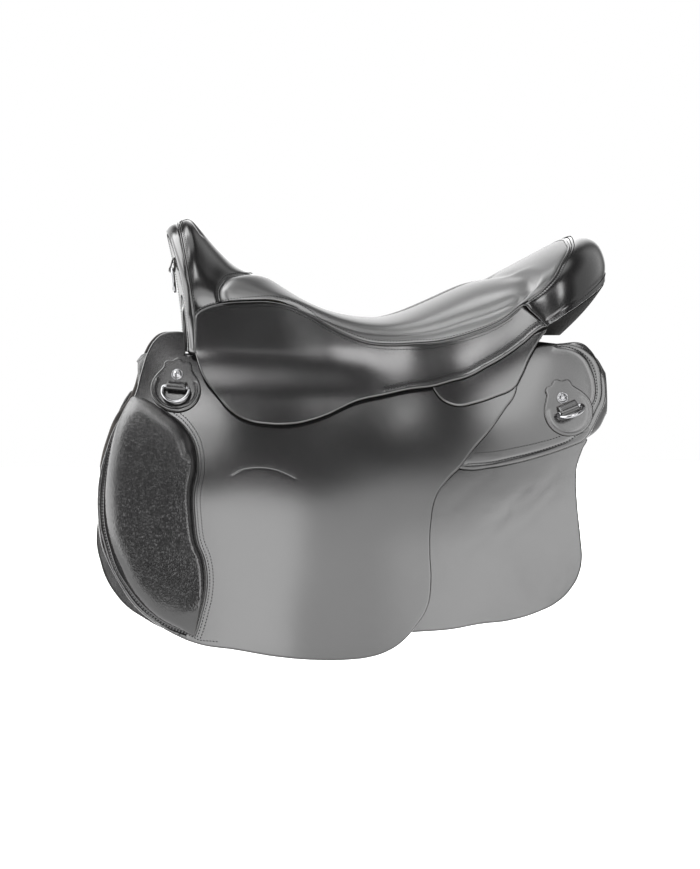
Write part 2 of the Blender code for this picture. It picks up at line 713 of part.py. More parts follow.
def build_screw(name, frame):
    """Cross-recess screw with its cup washer, turned in one profile."""
    profile = [
        (0, 2.6), (SCREW_FLAT, 2.6), (SCREW_HEAD, 1.7), (WASHER_RIM, 0.9), (WASHER_RIM, 0.3),
        (SCREW_SHANK, 0.3), (SCREW_SHANK, -8.5), (0, -9.5),
    ]
    mesh = bpy.data.meshes.new(name)
    points = [Vector((r, 0, z)) * MM for r, z in profile]
    mesh.from_pydata(points, [(i, i + 1) for i in range(len(points) - 1)], [])
    piece = add(name, mesh, CHROME, frame)
    screw = piece.modifiers.new("turned", "SCREW")
    screw.steps = screw.render_steps = 12
    screw.use_merge_vertices = True
    screw.merge_threshold = 0.00005
    return piece


def cutter(name, radius, depth, frame):
    """Round cutter through the leather, along the frame's Z."""
    shape = bmesh.new()
    bmesh.ops.create_cone(
        shape, cap_ends=True, segments=12, radius1=radius * MM, radius2=radius * MM, depth=depth * MM
    )
    mesh = bpy.data.meshes.new(name)
    shape.to_mesh(mesh)
    shape.free()
    tool = bpy.data.objects.new(name, mesh)
    CUTTERS.objects.link(tool)
    tool.matrix_world = frame
    tool.hide_render = True
    tool.display_type = "WIRE"
    return tool


def cut(piece, tool):
    """Cuts a tool's shape out of a piece."""
    boolean = piece.modifiers.new("cut", "BOOLEAN")
    boolean.operation = "DIFFERENCE"
    boolean.object = tool
    boolean.solver = "EXACT"


def ring_points(half_width, drop):
    """Middle line of a D ring about its bar: straight along the bar and round below it."""
    arc = []
    for k in range(15):
        angle = math.radians(180 + 180 * k / 14)
        arc.append(Vector((math.cos(angle) * half_width, math.sin(angle) * (drop - 4) - 4, 0)))
    return [Vector((-half_width + 2.5, 0, 0)), *arc, Vector((half_width - 2.5, 0, 0))]


def build_ring(name, chape_name, bar, raised, half_width=RING_HALF_WIDTH, drop=RING_DROP):
    """D ring hanging by its bar in a folded leather chape. Its origin is the middle of the bar."""
    curve = bpy.data.curves.new(name, "CURVE")
    curve.dimensions = "3D"
    curve.bevel_depth = RING_WIRE / 2 * MM
    curve.bevel_resolution = 2
    points = ring_points(half_width, drop)
    spline = curve.splines.new("POLY")
    spline.points.add(len(points) - 1)
    for knot, point in zip(spline.points, points):
        knot.co = (*(point * MM), 1)
    spline.use_cyclic_u = True
    mesh = mesh_of(bpy.data.objects.new(name, curve))
    add(name, mesh, CHROME, bar @ Matrix.Rotation(math.radians(-raised), 4, "X"))
    radius = RING_WIRE / 2 + BAR_CLEARANCE
    outer = [(math.cos(a) * (radius + CHAPE_WALL), math.sin(a) * (radius + CHAPE_WALL)) for a in turns(9)]
    inner = [(math.cos(a) * radius, math.sin(a) * radius) for a in turns(9)]
    chape = mesh_of(flat_curve([outer, inner], CHAPE_LENGTH))
    across = bar @ Matrix.Rotation(math.radians(90), 4, "Y")
    add(chape_name, chape, LEATHER, across)


def turns(count):
    """Angles of a whole turn in equal steps."""
    return [math.tau * k / count for k in range(count)]


def build_panel(side, word):
    """Panel: a flocked cushion from the gullet channel down the horse's back, closed at both ends."""
    rings = []
    for x, middle_z, half_length, thick in PANEL_STATIONS:
        slope = math.atan2(form(x, middle_z - 50) - form(x, middle_z + 50), 100)
        along = Vector((0, math.sin(slope), -math.cos(slope)))
        inward = Vector((0, -math.cos(slope), -math.sin(slope)))
        middle = Vector((x, form(x, middle_z), middle_z)) + inward * (thick / 2 + PANEL_OFF)
        ring = []
        for turn in turns(16):
            run = math.copysign(abs(math.cos(turn)) ** 0.7, math.cos(turn)) * half_length
            deep = math.copysign(abs(math.sin(turn)) ** 0.8, math.sin(turn)) * thick / 2
            point = middle + along * run + inward * deep
            ring.append(Vector((point.x, side * point.y, point.z)))
        rings.append(ring)
    return loft(f"panel_{word}", rings, SOFT_LEATHER, closed=True)


def build_stirrup_bar(side, word):
    """Forged bar on a plate riveted to the tree's rail, with the safety catch behind its open end."""
    frame = form_frame(STIRRUP_BAR_X, STIRRUP_BAR_Z, RAIL_OFF, side)
    hook = [(-side * x, out, True) for x, out in BAR_PROFILE]
    stand = frame @ Matrix.Rotation(math.radians(90), 4, "X")
    add(f"stirrup_bar_{word}", mesh_of(flat_curve([hook], BAR_HEIGHT)), STEEL, stand)
    lever = [(-side * x, *rest) for x, *rest in CATCH_PROFILE]
    pivot = frame @ Matrix.Translation(Vector((-side * CATCH_X, 0, CATCH_OUT)) * MM)
    add(f"stirrup_catch_{word}", mesh_of(flat_curve([lever], CATCH_THICK)), STEEL, pivot)


def build_side(side, word):
    """Everything that hangs on one side of the horse."""
    sheet(f"sweat_flap_{word}", sweat_outline(), level(SWEAT_OFF), SWEAT_THICK, side, SOFT_LEATHER)
    sheet(f"rear_facing_{word}", rear_facing_outline(), level(FACING_OFF), FACING_THICK, side, LEATHER)
    for place, x in BILLETS:
        outline = billet_outline(x)
        billet = sheet(f"billet_{place}_{word}", outline, level(BILLET_OFF), BILLET_THICK, side, LEATHER)
        pivot_at(billet, on_form(x, BILLET_PIVOT_Z, BILLET_OFF, side))
    sheet(f"flap_head_{word}", flap_head_outline(), level(FLAP_OFF), FLAP_THICK, side, LEATHER)
    flap = sheet(f"flap_{word}", flap_outline(), level(FLAP_OFF), FLAP_THICK, side, LEATHER)
    pivot_at(flap, fold_point(FLAP_FOLD, side))
    roll = knee_roll_outline()
    gap = outline_gap(roll)
    rest = FLAP_OFF + FLAP_THICK + LAYER_GAP

    def crown(x, z):
        return 2.5 + 17 * smooth(0, 34, gap(x, z)) ** 0.8

    knee_roll = pad(f"knee_roll_{word}", roll, rest, crown, side, SOFT_LEATHER)
    pivot_at(knee_roll, fold_point(FLAP_FOLD, side))
    skirt = sheet(f"skirt_{word}", skirt_outline(), skirt_off, SKIRT_THICK, side, LEATHER)
    pivot_at(skirt, fold_point(SKIRT_FOLD, side))
    sheet(f"rear_jockey_{word}", jockey_outline(), level(JOCKEY_OFF), JOCKEY_THICK, side, LEATHER)
    for place, x, z, off, turn, raised in RINGS:
        build_rosette(place, x, z, off, turn, raised, side, word)
    build_panel(side, word)
    build_stirrup_bar(side, word)


def build_cantle_back():
    """Leather under the cantle, from the cover's lower border down to the panels."""
    rows = []
    for share in steps(0.02, 1, 3):
        row = []
        for angle in steps(-90, 90, 16):
            top = seat_point(CANTLE_END, angle, 2 + 10 * share)
            phi = math.radians(angle)
            low_half = form(BACK_SEAM_X, BACK_LOW_Z) + JOCKEY_OFF
            low_y = low_half * math.copysign(abs(math.sin(phi)) ** 0.9, phi)
            low_x = BACK_SEAM_X + BACK_REACH * max(math.cos(phi), 0) ** 0.8
            point = top.lerp(Vector((low_x, low_y, BACK_LOW_Z - math.cos(phi))), share)
            point.x += 5 * math.sin(math.pi * share) * max(math.cos(phi), 0)
            point.z -= 1.2
            row.append(point)
        rows.append(row)
    shell(loft("cantle_back", rows, LEATHER), FRONT_THICK, -1)


def build_channel():
    """Lining that closes the gullet channel under the tree."""
    rows = []
    for x in steps(*LINING_ENDS, 8):
        z = LINING_LOW_Z + 20 * ((x - 40) / 200) ** 2
        rows.append([(x, y, z - 5 * (y / LINING_HALF) ** 2) for y in steps(-LINING_HALF, LINING_HALF, 2)])
    shell(loft("channel_lining", rows, SOFT_LEATHER), LINING_THICK, 1)


def build_gullet_plate():
    """Steel arch riveted inside the head of the tree."""
    outline = []
    for inset, angles in ((0, steps(-90, 90, 12)), (PLATE_THICK, steps(90, -90, 12))):
        for angle in angles:
            phi = math.radians(angle)
            across = math.copysign(abs(math.sin(phi)) ** 0.8, phi) * (PLATE_HALF - inset)
            up = PLATE_FOOT_Z + (PLATE_RISE - inset) * max(math.cos(phi), 0.0) ** 0.8
            outline.append((across, up, True))
    frame = Matrix(((0, 0, 1, PLATE_X * MM), (1, 0, 0, 0), (0, 1, 0, 0), (0, 0, 0, 1)))
    add("gullet_plate", mesh_of(flat_curve([outline], PLATE_WIDTH)), STEEL, frame)


def build_pommel_ring():
    """Ring on the front of the pommel, hanging from its chape."""
    x = front_x(POMMEL_RING_Z) - RING_WIRE / 2 - BAR_CLEARANCE - CHAPE_WALL - 0.6
    frame = Matrix(((0, 0, -1, x * MM), (-1, 0, 0, 0), (0, 1, 0, POMMEL_RING_Z * MM), (0, 0, 0, 1)))
    sizes = (POMMEL_RING_RAISED, POMMEL_RING_HALF_WIDTH, POMMEL_RING_DROP)
    build_ring("pommel_ring", "pommel_ring_chape", frame, *sizes)


def main():
    """Clears the scene and builds the saddle."""
    for old in list(bpy.data.objects):
        bpy.data.objects.remove(old)
    for collection in (SADDLE, CUTTERS):
        bpy.context.scene.collection.children.link(collection)
    CUTTERS.hide_render = True
    build_seat()
    build_pommel_front()
    build_cantle_back()
    build_channel()
    build_gullet_plate()
    for side, word in SIDES:
        build_side(side, word)
    build_pommel_ring()


main()
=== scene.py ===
"""A black leather trail saddle, dressed for a plain studio picture.

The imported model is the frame: every piece here is placed on its side form and its seat form, whose sizes
are repeated below in millimetres. X runs from pommel to cantle, the horse's left side is at -Y, +Z is up.
"""

import logging
import math
from dataclasses import dataclass
from enum import Enum
from typing import Callable, ClassVar, Optional, Sequence, Union

import bpy
import numpy as np
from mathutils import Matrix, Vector
from mathutils.geometry import delaunay_2d_cdt


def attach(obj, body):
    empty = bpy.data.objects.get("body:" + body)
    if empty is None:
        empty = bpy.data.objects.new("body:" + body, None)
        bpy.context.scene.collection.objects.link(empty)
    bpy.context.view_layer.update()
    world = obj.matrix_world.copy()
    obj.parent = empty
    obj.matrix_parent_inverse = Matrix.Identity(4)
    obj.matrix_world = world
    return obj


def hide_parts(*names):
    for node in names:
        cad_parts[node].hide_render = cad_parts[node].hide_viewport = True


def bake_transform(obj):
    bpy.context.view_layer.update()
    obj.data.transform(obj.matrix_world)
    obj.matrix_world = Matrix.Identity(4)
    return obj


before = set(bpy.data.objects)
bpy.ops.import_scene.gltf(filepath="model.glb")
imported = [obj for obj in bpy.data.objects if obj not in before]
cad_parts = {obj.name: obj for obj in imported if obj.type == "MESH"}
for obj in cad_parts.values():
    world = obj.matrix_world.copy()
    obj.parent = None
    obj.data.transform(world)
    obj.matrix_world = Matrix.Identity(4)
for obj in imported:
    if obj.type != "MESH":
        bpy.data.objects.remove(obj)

MM = 0.001
LOG = logging.getLogger("trail_saddle")
Array = np.ndarray
Knots = Sequence[Sequence[float]]
Faces = list[tuple[Array, int]]
Term = Union["Signal", float]
HANDLE = 2.5614  # Divides the distance between knots into the length of a smooth curve's handle.


class Side(Enum):
    """The horse's two sides, by the sign of Y."""

    LEFT = -1
    RIGHT = 1

    @property
    def word(self) -> str:
        """The side's name in lower case."""
        return self.name.lower()


class Slot(Enum):
    """Material slots of the record."""

    LEATHER = "leather"
    SOFT = "soft_leather"
    FOAM = "foam"
    WOOD = "wood"
    CHROME = "chrome"


def ease(a: float, b: float, x: Array) -> Array:
    """Smooth step from 0 at a to 1 at b, which may lie below a."""
    t = np.clip((np.asarray(x, float) - a) / (b - a), 0.0, 1.0)
    return t * t * (3 - 2 * t)


def bell(distance: Array, width: float) -> Array:
    """Bell curve, 1 at no distance and near 0 past twice the width."""
    return np.exp(-((distance / width) ** 2))


def spline_weights(t: Array, count: int) -> tuple[Array, Array]:
    """Weights that run a smooth curve through evenly spaced values.

    Args:
        t: Places along the values, counted in values.
        count: How many values there are.

    Returns:
        The first of the four values used at each place, in a table widened by one at each end, and the
        four weights.
    """
    t = np.clip(t, 0.0, count - 1.000001)
    first = t.astype(int)
    f = t - first
    square, cube = f * f, f**3
    weights = (2 * square - f - cube, 2 - 5 * square + 3 * cube, f + 4 * square - 3 * cube, cube - square)
    return first, 0.5 * np.stack(weights, -1)


def widened(table: Array, axis: int = 0) -> Array:
    """Table with a straight continuation before its first and after its last value along an axis."""
    first, second, before, last = (np.take(table, [k], axis) for k in (0, 1, -2, -1))
    return np.concatenate([2 * first - second, table, 2 * last - before], axis)


def between_stations(stations: Knots, places: Array) -> Array:
    """Rows of numbers read smoothly between the stations of a shape.

    Args:
        stations: The numbers of each station.
        places: Places along the stations, counted in stations.

    Returns:
        One row of numbers a place.
    """
    table = widened(np.array(stations, float))
    first, weights = spline_weights(places, len(stations))
    return sum(weights[..., k, None] * table[first + k] for k in range(4))


def signed_power(values: Array, exponent: float) -> Array:
    """Powers of the values' sizes, each with its value's own sign."""
    return np.sign(values) * np.abs(values) ** exponent


def unit(vectors: Array) -> Array:
    """Vectors brought to length 1 along their last axis."""
    return vectors / np.maximum(np.linalg.norm(vectors, axis=-1, keepdims=True), 1e-12)


def run_lengths(path: Array) -> Array:
    """Lengths of a path from its start to each of its points."""
    return np.concatenate([[0], np.cumsum(np.linalg.norm(np.diff(path, axis=0), axis=1))])


def evenly(path: Array, spacing: float, closed: bool = False, measured: int = 3) -> Array:
    """Points at even distances along a path.

    Args:
        path: Points of the path, one a row. Columns past the measured ones are carried along.
        spacing: Distance wanted between points.
        closed: Whether the path returns to its start.
        measured: How many columns measure the length.

    Returns:
        The new points, without a repeated one at the end of a closed path.
    """
    line = np.vstack([path, path[:1]]) if closed else path
    along = run_lengths(line[:, :measured])
    count = max(2, round(along[-1] / spacing))
    places = np.linspace(0, along[-1], count + 1)
    if closed:
        places = places[:-1]
    return np.stack([np.interp(places, along, column) for column in line.T], -1)


def curve_through(knots: Knots, spacing: float = 3.0, closed: bool = False) -> Array:
    """Smooth flat path through knots.

    Args:
        knots: Points as (x, z) or, at a corner, (x, z, True).
        spacing: Distance between points of the path, at most.
        closed: Whether the path returns to its start.

    Returns:
        Points of the path, each knot among them.
    """
    points = np.array([knot[:2] for knot in knots], float)
    count = len(points)
    arriving, leaving = points.copy(), points.copy()
    for i, knot in enumerate(knots):
        here = points[i]
        before = points[i - 1] if closed or i else None
        after = points[(i + 1) % count] if closed or i < count - 1 else None
        if before is None or after is None or len(knot) > 2:
            arriving[i] = here if before is None else here + (before - here) / 3
            leaving[i] = here if after is None else here + (after - here) / 3
            continue
        back, ahead = np.linalg.norm(here - before), np.linalg.norm(after - here)
        run = (here - before) / back + (after - here) / ahead
        run /= HANDLE * np.linalg.norm(run)
        arriving[i], leaving[i] = here - run * back, here + run * ahead
    pieces = []
    for i in range(count if closed else count - 1):
        j = (i + 1) % count
        steps = max(1, math.ceil(np.linalg.norm(points[j] - points[i]) / spacing))
        t = (np.arange(steps) / steps)[:, None]
        a, b, c, d = points[i], leaving[i], arriving[j], points[j]
        pieces.append(a * (1 - t) ** 3 + 3 * b * t * (1 - t) ** 2 + 3 * c * t * t * (1 - t) + d * t**3)
    if not closed:
        pieces.append(points[-1:])
    return np.vstack(pieces)


def path_distance(points: Array, path: Array, closed: bool = False) -> Array:
    """Distance from points to a path, in two or three dimensions.

    Args:
        points: Points, one a row.
        path: Points of the path, one a row.
        closed: Whether the path returns to its start.

    Returns:
        One distance a point.
    """
    start = path if closed else path[:-1]
    run = (np.roll(path, -1, 0) if closed else path[1:]) - start
    square = np.maximum((run**2).sum(1), 1e-12)
    distance = np.empty(len(points))
    for k in range(0, len(points), 2000):
        here = points[k : k + 2000, None] - start
        share = np.clip((here * run).sum(-1) / square, 0, 1)
        distance[k : k + 2000] = np.sqrt(((here - share[..., None] * run) ** 2).sum(-1).min(1))
    return distance


def inside(points: Array, loop: Array) -> Array:
    """Whether points lie within a closed flat loop.

    Args:
        points: Points as (x, z) rows.
        loop: Points of the loop as (x, z) rows.

    Returns:
        One truth value a point.
    """
    x, z = points[:, :1], points[:, 1:2]
    (x0, z0), (x1, z1) = loop.T, np.roll(loop, -1, 0).T
    crosses = (z0 > z) != (z1 > z)
    rise = np.where(z1 == z0, 1.0, z1 - z0)
    return (crosses & (x < x0 + (z - z0) * (x1 - x0) / rise)).sum(1) % 2 == 1


def heading(path: Array, closed: bool) -> Array:
    """Directions of a path at its points, of any length."""
    return np.roll(path, -1, 0) - np.roll(path, 1, 0) if closed else np.gradient(path, axis=0)


def beside(path: Array, distance: float, closed: bool = False) -> Array:
    """Flat path shifted so far to its own left, or to its right by a negative distance."""
    run = unit(heading(path, closed))
    return path + distance * np.stack([-run[:, 1], run[:, 0]], -1)


@dataclass
class Solid:
    """Closed mesh in millimetres, whose faces come in groups that each have a finish number."""

    points: Array
    faces: Faces
    rim: Optional[Array] = None

    def mesh(self, name: str) -> bpy.types.Mesh:
        """Blender mesh of the solid, shaded smooth.

        Args:
            name: The mesh's name.

        Returns:
            The mesh, in metres, with the share of worn rim at each point.
        """
        mesh = bpy.data.meshes.new(name)
        sizes = np.concatenate([np.full(len(group), group.shape[1]) for group, _ in self.faces])
        corners = np.concatenate([group.ravel() for group, _ in self.faces])
        kinds = np.concatenate([np.full(len(group), kind) for group, kind in self.faces])
        mesh.vertices.add(len(self.points))
        mesh.vertices.foreach_set("co", (self.points * MM).astype(np.float32).ravel())
        mesh.loops.add(len(corners))
        mesh.loops.foreach_set("vertex_index", corners.astype(np.int32))
        mesh.polygons.add(len(sizes))
        mesh.polygons.foreach_set("loop_start", (np.cumsum(sizes) - sizes).astype(np.int32))
        mesh.polygons.foreach_set("material_index", kinds.astype(np.int32))
        mesh.update(calc_edges=True)
        rim = np.zeros(len(self.points)) if self.rim is None else self.rim
        worn = mesh.attributes.new("rim", "FLOAT", "POINT")
        worn.data.foreach_set("value", rim.astype(np.float32))
        mesh.validate()
        mesh.shade_smooth()
        return mesh


def joined(solids: Sequence[Solid]) -> Solid:
    """Several solids as one.

    Args:
        solids: The solids.

    Returns:
        One solid that holds them all.
    """
    faces: Faces = []
    count = 0
    for solid in solids:
        faces += [(group + count, kind) for group, kind in solid.faces]
        count += len(solid.points)
    rims = [np.zeros(len(solid.points)) if solid.rim is None else solid.rim for solid in solids]
    return Solid(np.vstack([solid.points for solid in solids]), faces, np.concatenate(rims))


@dataclass(frozen=True)
class SideForm:
    """Half breadth of the saddle over the sweat flaps' inner faces, down the columns from the top."""

    first_x: float = -300.0
    step_x: float = 100.0
    top_z: float = 140.0
    step_z: float = 80.0
    half_breadth: tuple[tuple[float, ...], ...] = (
        (28, 42, 48, 49, 66, 102, 118),
        (62, 84, 94, 98, 108, 132, 140),
        (104, 122, 133, 137, 140, 148, 152),
        (136, 153, 163, 167, 167, 167, 165),
        (154, 172, 183, 187, 185, 179, 172),
        (165, 184, 194, 197, 195, 187, 177),
        (168, 187, 196, 198, 197, 189, 178),
    )

    def half(self, x: Array, z: Array) -> Array:
        """Half breadth of the form.

        Args:
            x: Places along the saddle.
            z: Heights.

        Returns:
            One half breadth a place.
        """
        table = widened(widened(np.array(self.half_breadth, float), 0), 1)
        x, z = np.broadcast_arrays(np.asarray(x, float), np.asarray(z, float))
        column, across = spline_weights((x - self.first_x) / self.step_x, len(self.half_breadth[0]))
        row, down = spline_weights((self.top_z - z) / self.step_z, len(self.half_breadth))
        total = np.zeros(x.shape)
        for a in range(4):
            for b in range(4):
                total += down[..., a] * across[..., b] * table[row + a, column + b]
        return total


FORM = SideForm()


@dataclass(frozen=True)
class Layer:
    """Surface that one leather rests on: so far off the side form, and further over the stirrup bar."""

    side: Side
    off: float
    rise: float = 0.0
    rise_z: ClassVar[tuple[float, float]] = (15.0, 75.0)
    rise_x: ClassVar[tuple[float, float]] = (80.0, -40.0)

    def standoff(self, x: Array, z: Array) -> Array:
        """How far the surface stands off the form at places x, z."""
        return self.off + self.rise * ease(*self.rise_z, z) * ease(*self.rise_x, x)

    def base(self, x: Array, z: Array) -> Array:
        """Points of the surface at places x, z."""
        x, z = np.broadcast_arrays(np.asarray(x, float), np.asarray(z, float))
        return np.stack([x, self.side.value * (FORM.half(x, z) + self.standoff(x, z)), z], -1)

    def normal(self, x: Array, z: Array) -> Array:
        """Directions straight out of the surface.

        Args:
            x: Places along the saddle.
            z: Heights of the places.

        Returns:
            One direction a place, of length 1.
        """
        along = self.base(np.add(x, 2), z) - self.base(np.subtract(x, 2), z)
        up = self.base(x, np.add(z, 2)) - self.base(x, np.subtract(z, 2))
        return unit(np.cross(along, up)) * -self.side.value

    def place(self, x: Array, z: Array, height: Union[Array, float] = 0.0) -> Array:
        """Points that stand so far off the surface at places x, z."""
        height = np.broadcast_to(np.asarray(height, float), np.broadcast(x, z).shape)
        return self.base(x, z) + self.normal(x, z) * height[..., None]

    def along(self, path: Array, height: float) -> Array:
        """Points and normals over a flat path, as rows of six numbers."""
        x, z = path.T[:2]
        return np.hstack([self.place(x, z, height), self.normal(x, z)])

    def _spot(self, x: float, z: float) -> Array:
        """One point so far off the side form, without the rise over the stirrup bar."""
        return np.array([x, self.side.value * (FORM.half(x, z) + self.off), z])

    def axes(self, x: float, z: float, turn: float = 0.0) -> tuple[Array, Array]:
        """Frame on the surface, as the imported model's rings and screws have it.

        Args:
            x: Place along the saddle.
            z: Height of the place.
            turn: Degrees that the end nearer the cantle is raised.

        Returns:
            The frame's origin, and its three axes as rows: along, up and out.
        """
        side = self.side.value
        along = unit(self._spot(x - 4 * side, z) - self._spot(x + 4 * side, z))
        out = unit(np.cross(along, self._spot(x, z + 4) - self._spot(x, z - 4)))
        up = np.cross(out, along)
        angle = math.radians(-side * turn)
        turned = along * math.cos(angle) + up * math.sin(angle)
        return self._spot(x, z), np.stack([turned, np.cross(out, turned), out])


@dataclass(frozen=True)
class SmallLayer(Layer):
    """Surface under a small leather that is drawn in its own flat frame round a place on the side."""

    x: float = 0.0
    z: float = 0.0
    turn: float = 0.0

    def local(self, a: Array, b: Array) -> tuple[Array, Array]:
        """Places on the side for places in the small leather's own frame.

        Args:
            a: Places along the small leather.
            b: Places up it.

        Returns:
            The places along the saddle, and their heights.
        """
        angle = math.radians(self.turn)
        slope = (FORM.half(self.x, self.z + 8) - FORM.half(self.x, self.z - 8)) / 16
        a, b = np.asarray(a, float), np.asarray(b, float)
        up = (a * math.sin(angle) + b * math.cos(angle)) / math.hypot(1, float(slope))
        return self.x + a * math.cos(angle) - b * math.sin(angle), self.z + up

    def place(self, x: Array, z: Array, height: Union[Array, float] = 0.0) -> Array:
        """Points that stand off the surface at places in the small leather's own frame."""
        return Layer.place(self, *self.local(x, z), height)

    def along(self, path: Array, height: float) -> Array:
        """Points and normals over a path in the small leather's own frame."""
        x, z = self.local(*path.T[:2])
        return np.hstack([Layer.place(self, x, z, height), self.normal(x, z)])


@dataclass(frozen=True)
class SeatForm:
    """Seat surface by station u, from pommel to cantle, and angle, -90 on the left seam to 90 on the right.

    Each station holds its top's x and z, its seam's x and z, and the fullness of its sides and its top.
    """

    skirt: Layer = Layer(Side.LEFT, 18.9, 7.4)
    skirt_thickness: float = 3.2
    station_mm: ClassVar[float] = 24.0
    degree_mm: ClassVar[float] = 1.4
    last_angle: ClassVar[float] = 88.5
    stations: tuple[tuple[float, ...], ...] = (
        (-209, 214, -190, 110, 1.75, 1.75), (-203, 223, -188, 113, 1.7, 1.75),
        (-191, 227, -184, 117, 1.65, 1.75), (-179, 217, -177, 121, 1.65, 1.8),
        (-160, 195, -165, 125, 1.7, 1.8), (-140, 176, -148, 128, 1.8, 1.85),
        (-114, 161, -128, 129, 1.9, 1.9), (-88, 143, -104, 129, 2.0, 2.0),
        (-65, 128, -78, 123, 2.2, 2.0), (-42, 117, -52, 110, 2.4, 2.0),
        (-18, 110, -26, 95, 2.5, 2.0), (8, 106, 4, 83, 2.5, 2.0),
        (34, 106, 32, 80, 2.5, 2.0), (62, 113, 60, 81, 2.5, 2.0),
        (98, 128, 88, 83, 2.5, 2.0), (137, 146, 114, 89, 2.5, 2.0),
        (178, 164, 138, 97, 2.4, 2.1), (220, 186, 161, 108, 2.2, 2.2),
        (258, 206, 184, 125, 2.0, 2.2), (279, 210, 192, 119, 1.9, 2.2),
        (296, 202, 199, 112, 1.9, 2.2), (305, 183, 205, 105, 1.9, 2.2),
        (305, 158, 209, 101, 2.0, 2.2),
    )

    def rise(self, u: Array) -> Array:
        """How far the top stands from the seam at places u."""
        top_x, top_z, seam_x, seam_z, _, _ = between_stations(self.stations, u).T
        return np.hypot(top_x - seam_x, top_z - seam_z)

    def point(
        self, u: Array, angle: Array, side_inset: float = 0.0, top_inset: Union[Array, float] = 0.0
    ) -> Array:
        """Points of the seat.

        Args:
            u: Stations.
            angle: Angles in degrees.
            side_inset: How far inside the sides the points lie.
            top_inset: How far below the top they lie.

        Returns:
            One point a place.
        """
        u, angle = np.broadcast_arrays(np.asarray(u, float), np.asarray(angle, float))
        top_x, top_z, seam_x, seam_z, across, over = np.moveaxis(between_stations(self.stations, u), -1, 0)
        half = FORM.half(seam_x, seam_z) + self.skirt.standoff(seam_x, seam_z)
        half = half + self.skirt_thickness - side_inset
        phi = np.radians(angle)
        out = signed_power(np.sin(phi), 2 / across)
        share = 1 - top_inset / np.hypot(top_x - seam_x, top_z - seam_z)
        up = np.maximum(np.cos(phi), 0) ** (2 / over) * share
        return np.stack([seam_x + (top_x - seam_x) * up, half * out, seam_z + (top_z - seam_z) * up], -1)

    def normal(self, u: Array, angle: Array) -> Array:
        """Directions straight out of the seat.

        Args:
            u: Stations.
            angle: Angles in degrees.

        Returns:
            One direction a place, of length 1.
        """
        angle = np.clip(angle, -self.last_angle, self.last_angle)
        along = self.point(np.add(u, 0.02), angle) - self.point(np.subtract(u, 0.02), angle)
        across = self.point(u, np.add(angle, 0.5)) - self.point(u, np.subtract(angle, 0.5))
        return unit(np.cross(along, across))

    def path(self, knots: Knots, spacing: float = 2.0) -> Array:
        """Smooth path over the seat through knots of station and angle, as rows of the two."""
        scaled = [(knot[0] * self.station_mm, knot[1] * self.degree_mm) for knot in knots]
        return curve_through(scaled, spacing) / (self.station_mm, self.degree_mm)


SEAT = SeatForm()


@dataclass(frozen=True)
class Crease:
    """Line pressed into a leather, or raised from it where the depth is negative."""

    path: Array
    depth: float
    width: float


@dataclass(frozen=True)
class Swell:
    """Slow waves that hide keeps from the bench: seeded, a few sines of unlike directions."""

    height: float
    length: float
    seed: int
    count: int = 7

    def at(self, x: Array, z: Array) -> Array:
        """Height of the waves.

        Args:
            x: Places along the leather.
            z: Places up it.

        Returns:
            One height a place.
        """
        draw = np.random.default_rng(self.seed)
        total = np.zeros(np.shape(x))
        for _ in range(self.count):
            turn, phase, stretch = draw.uniform(0, math.tau, 2).tolist() + [draw.uniform(0.7, 1.6)]
            wave = math.tau / (self.length * stretch)
            total += np.sin((x * math.cos(turn) + z * math.sin(turn)) * wave + phase) * stretch
        return total * self.height / self.count


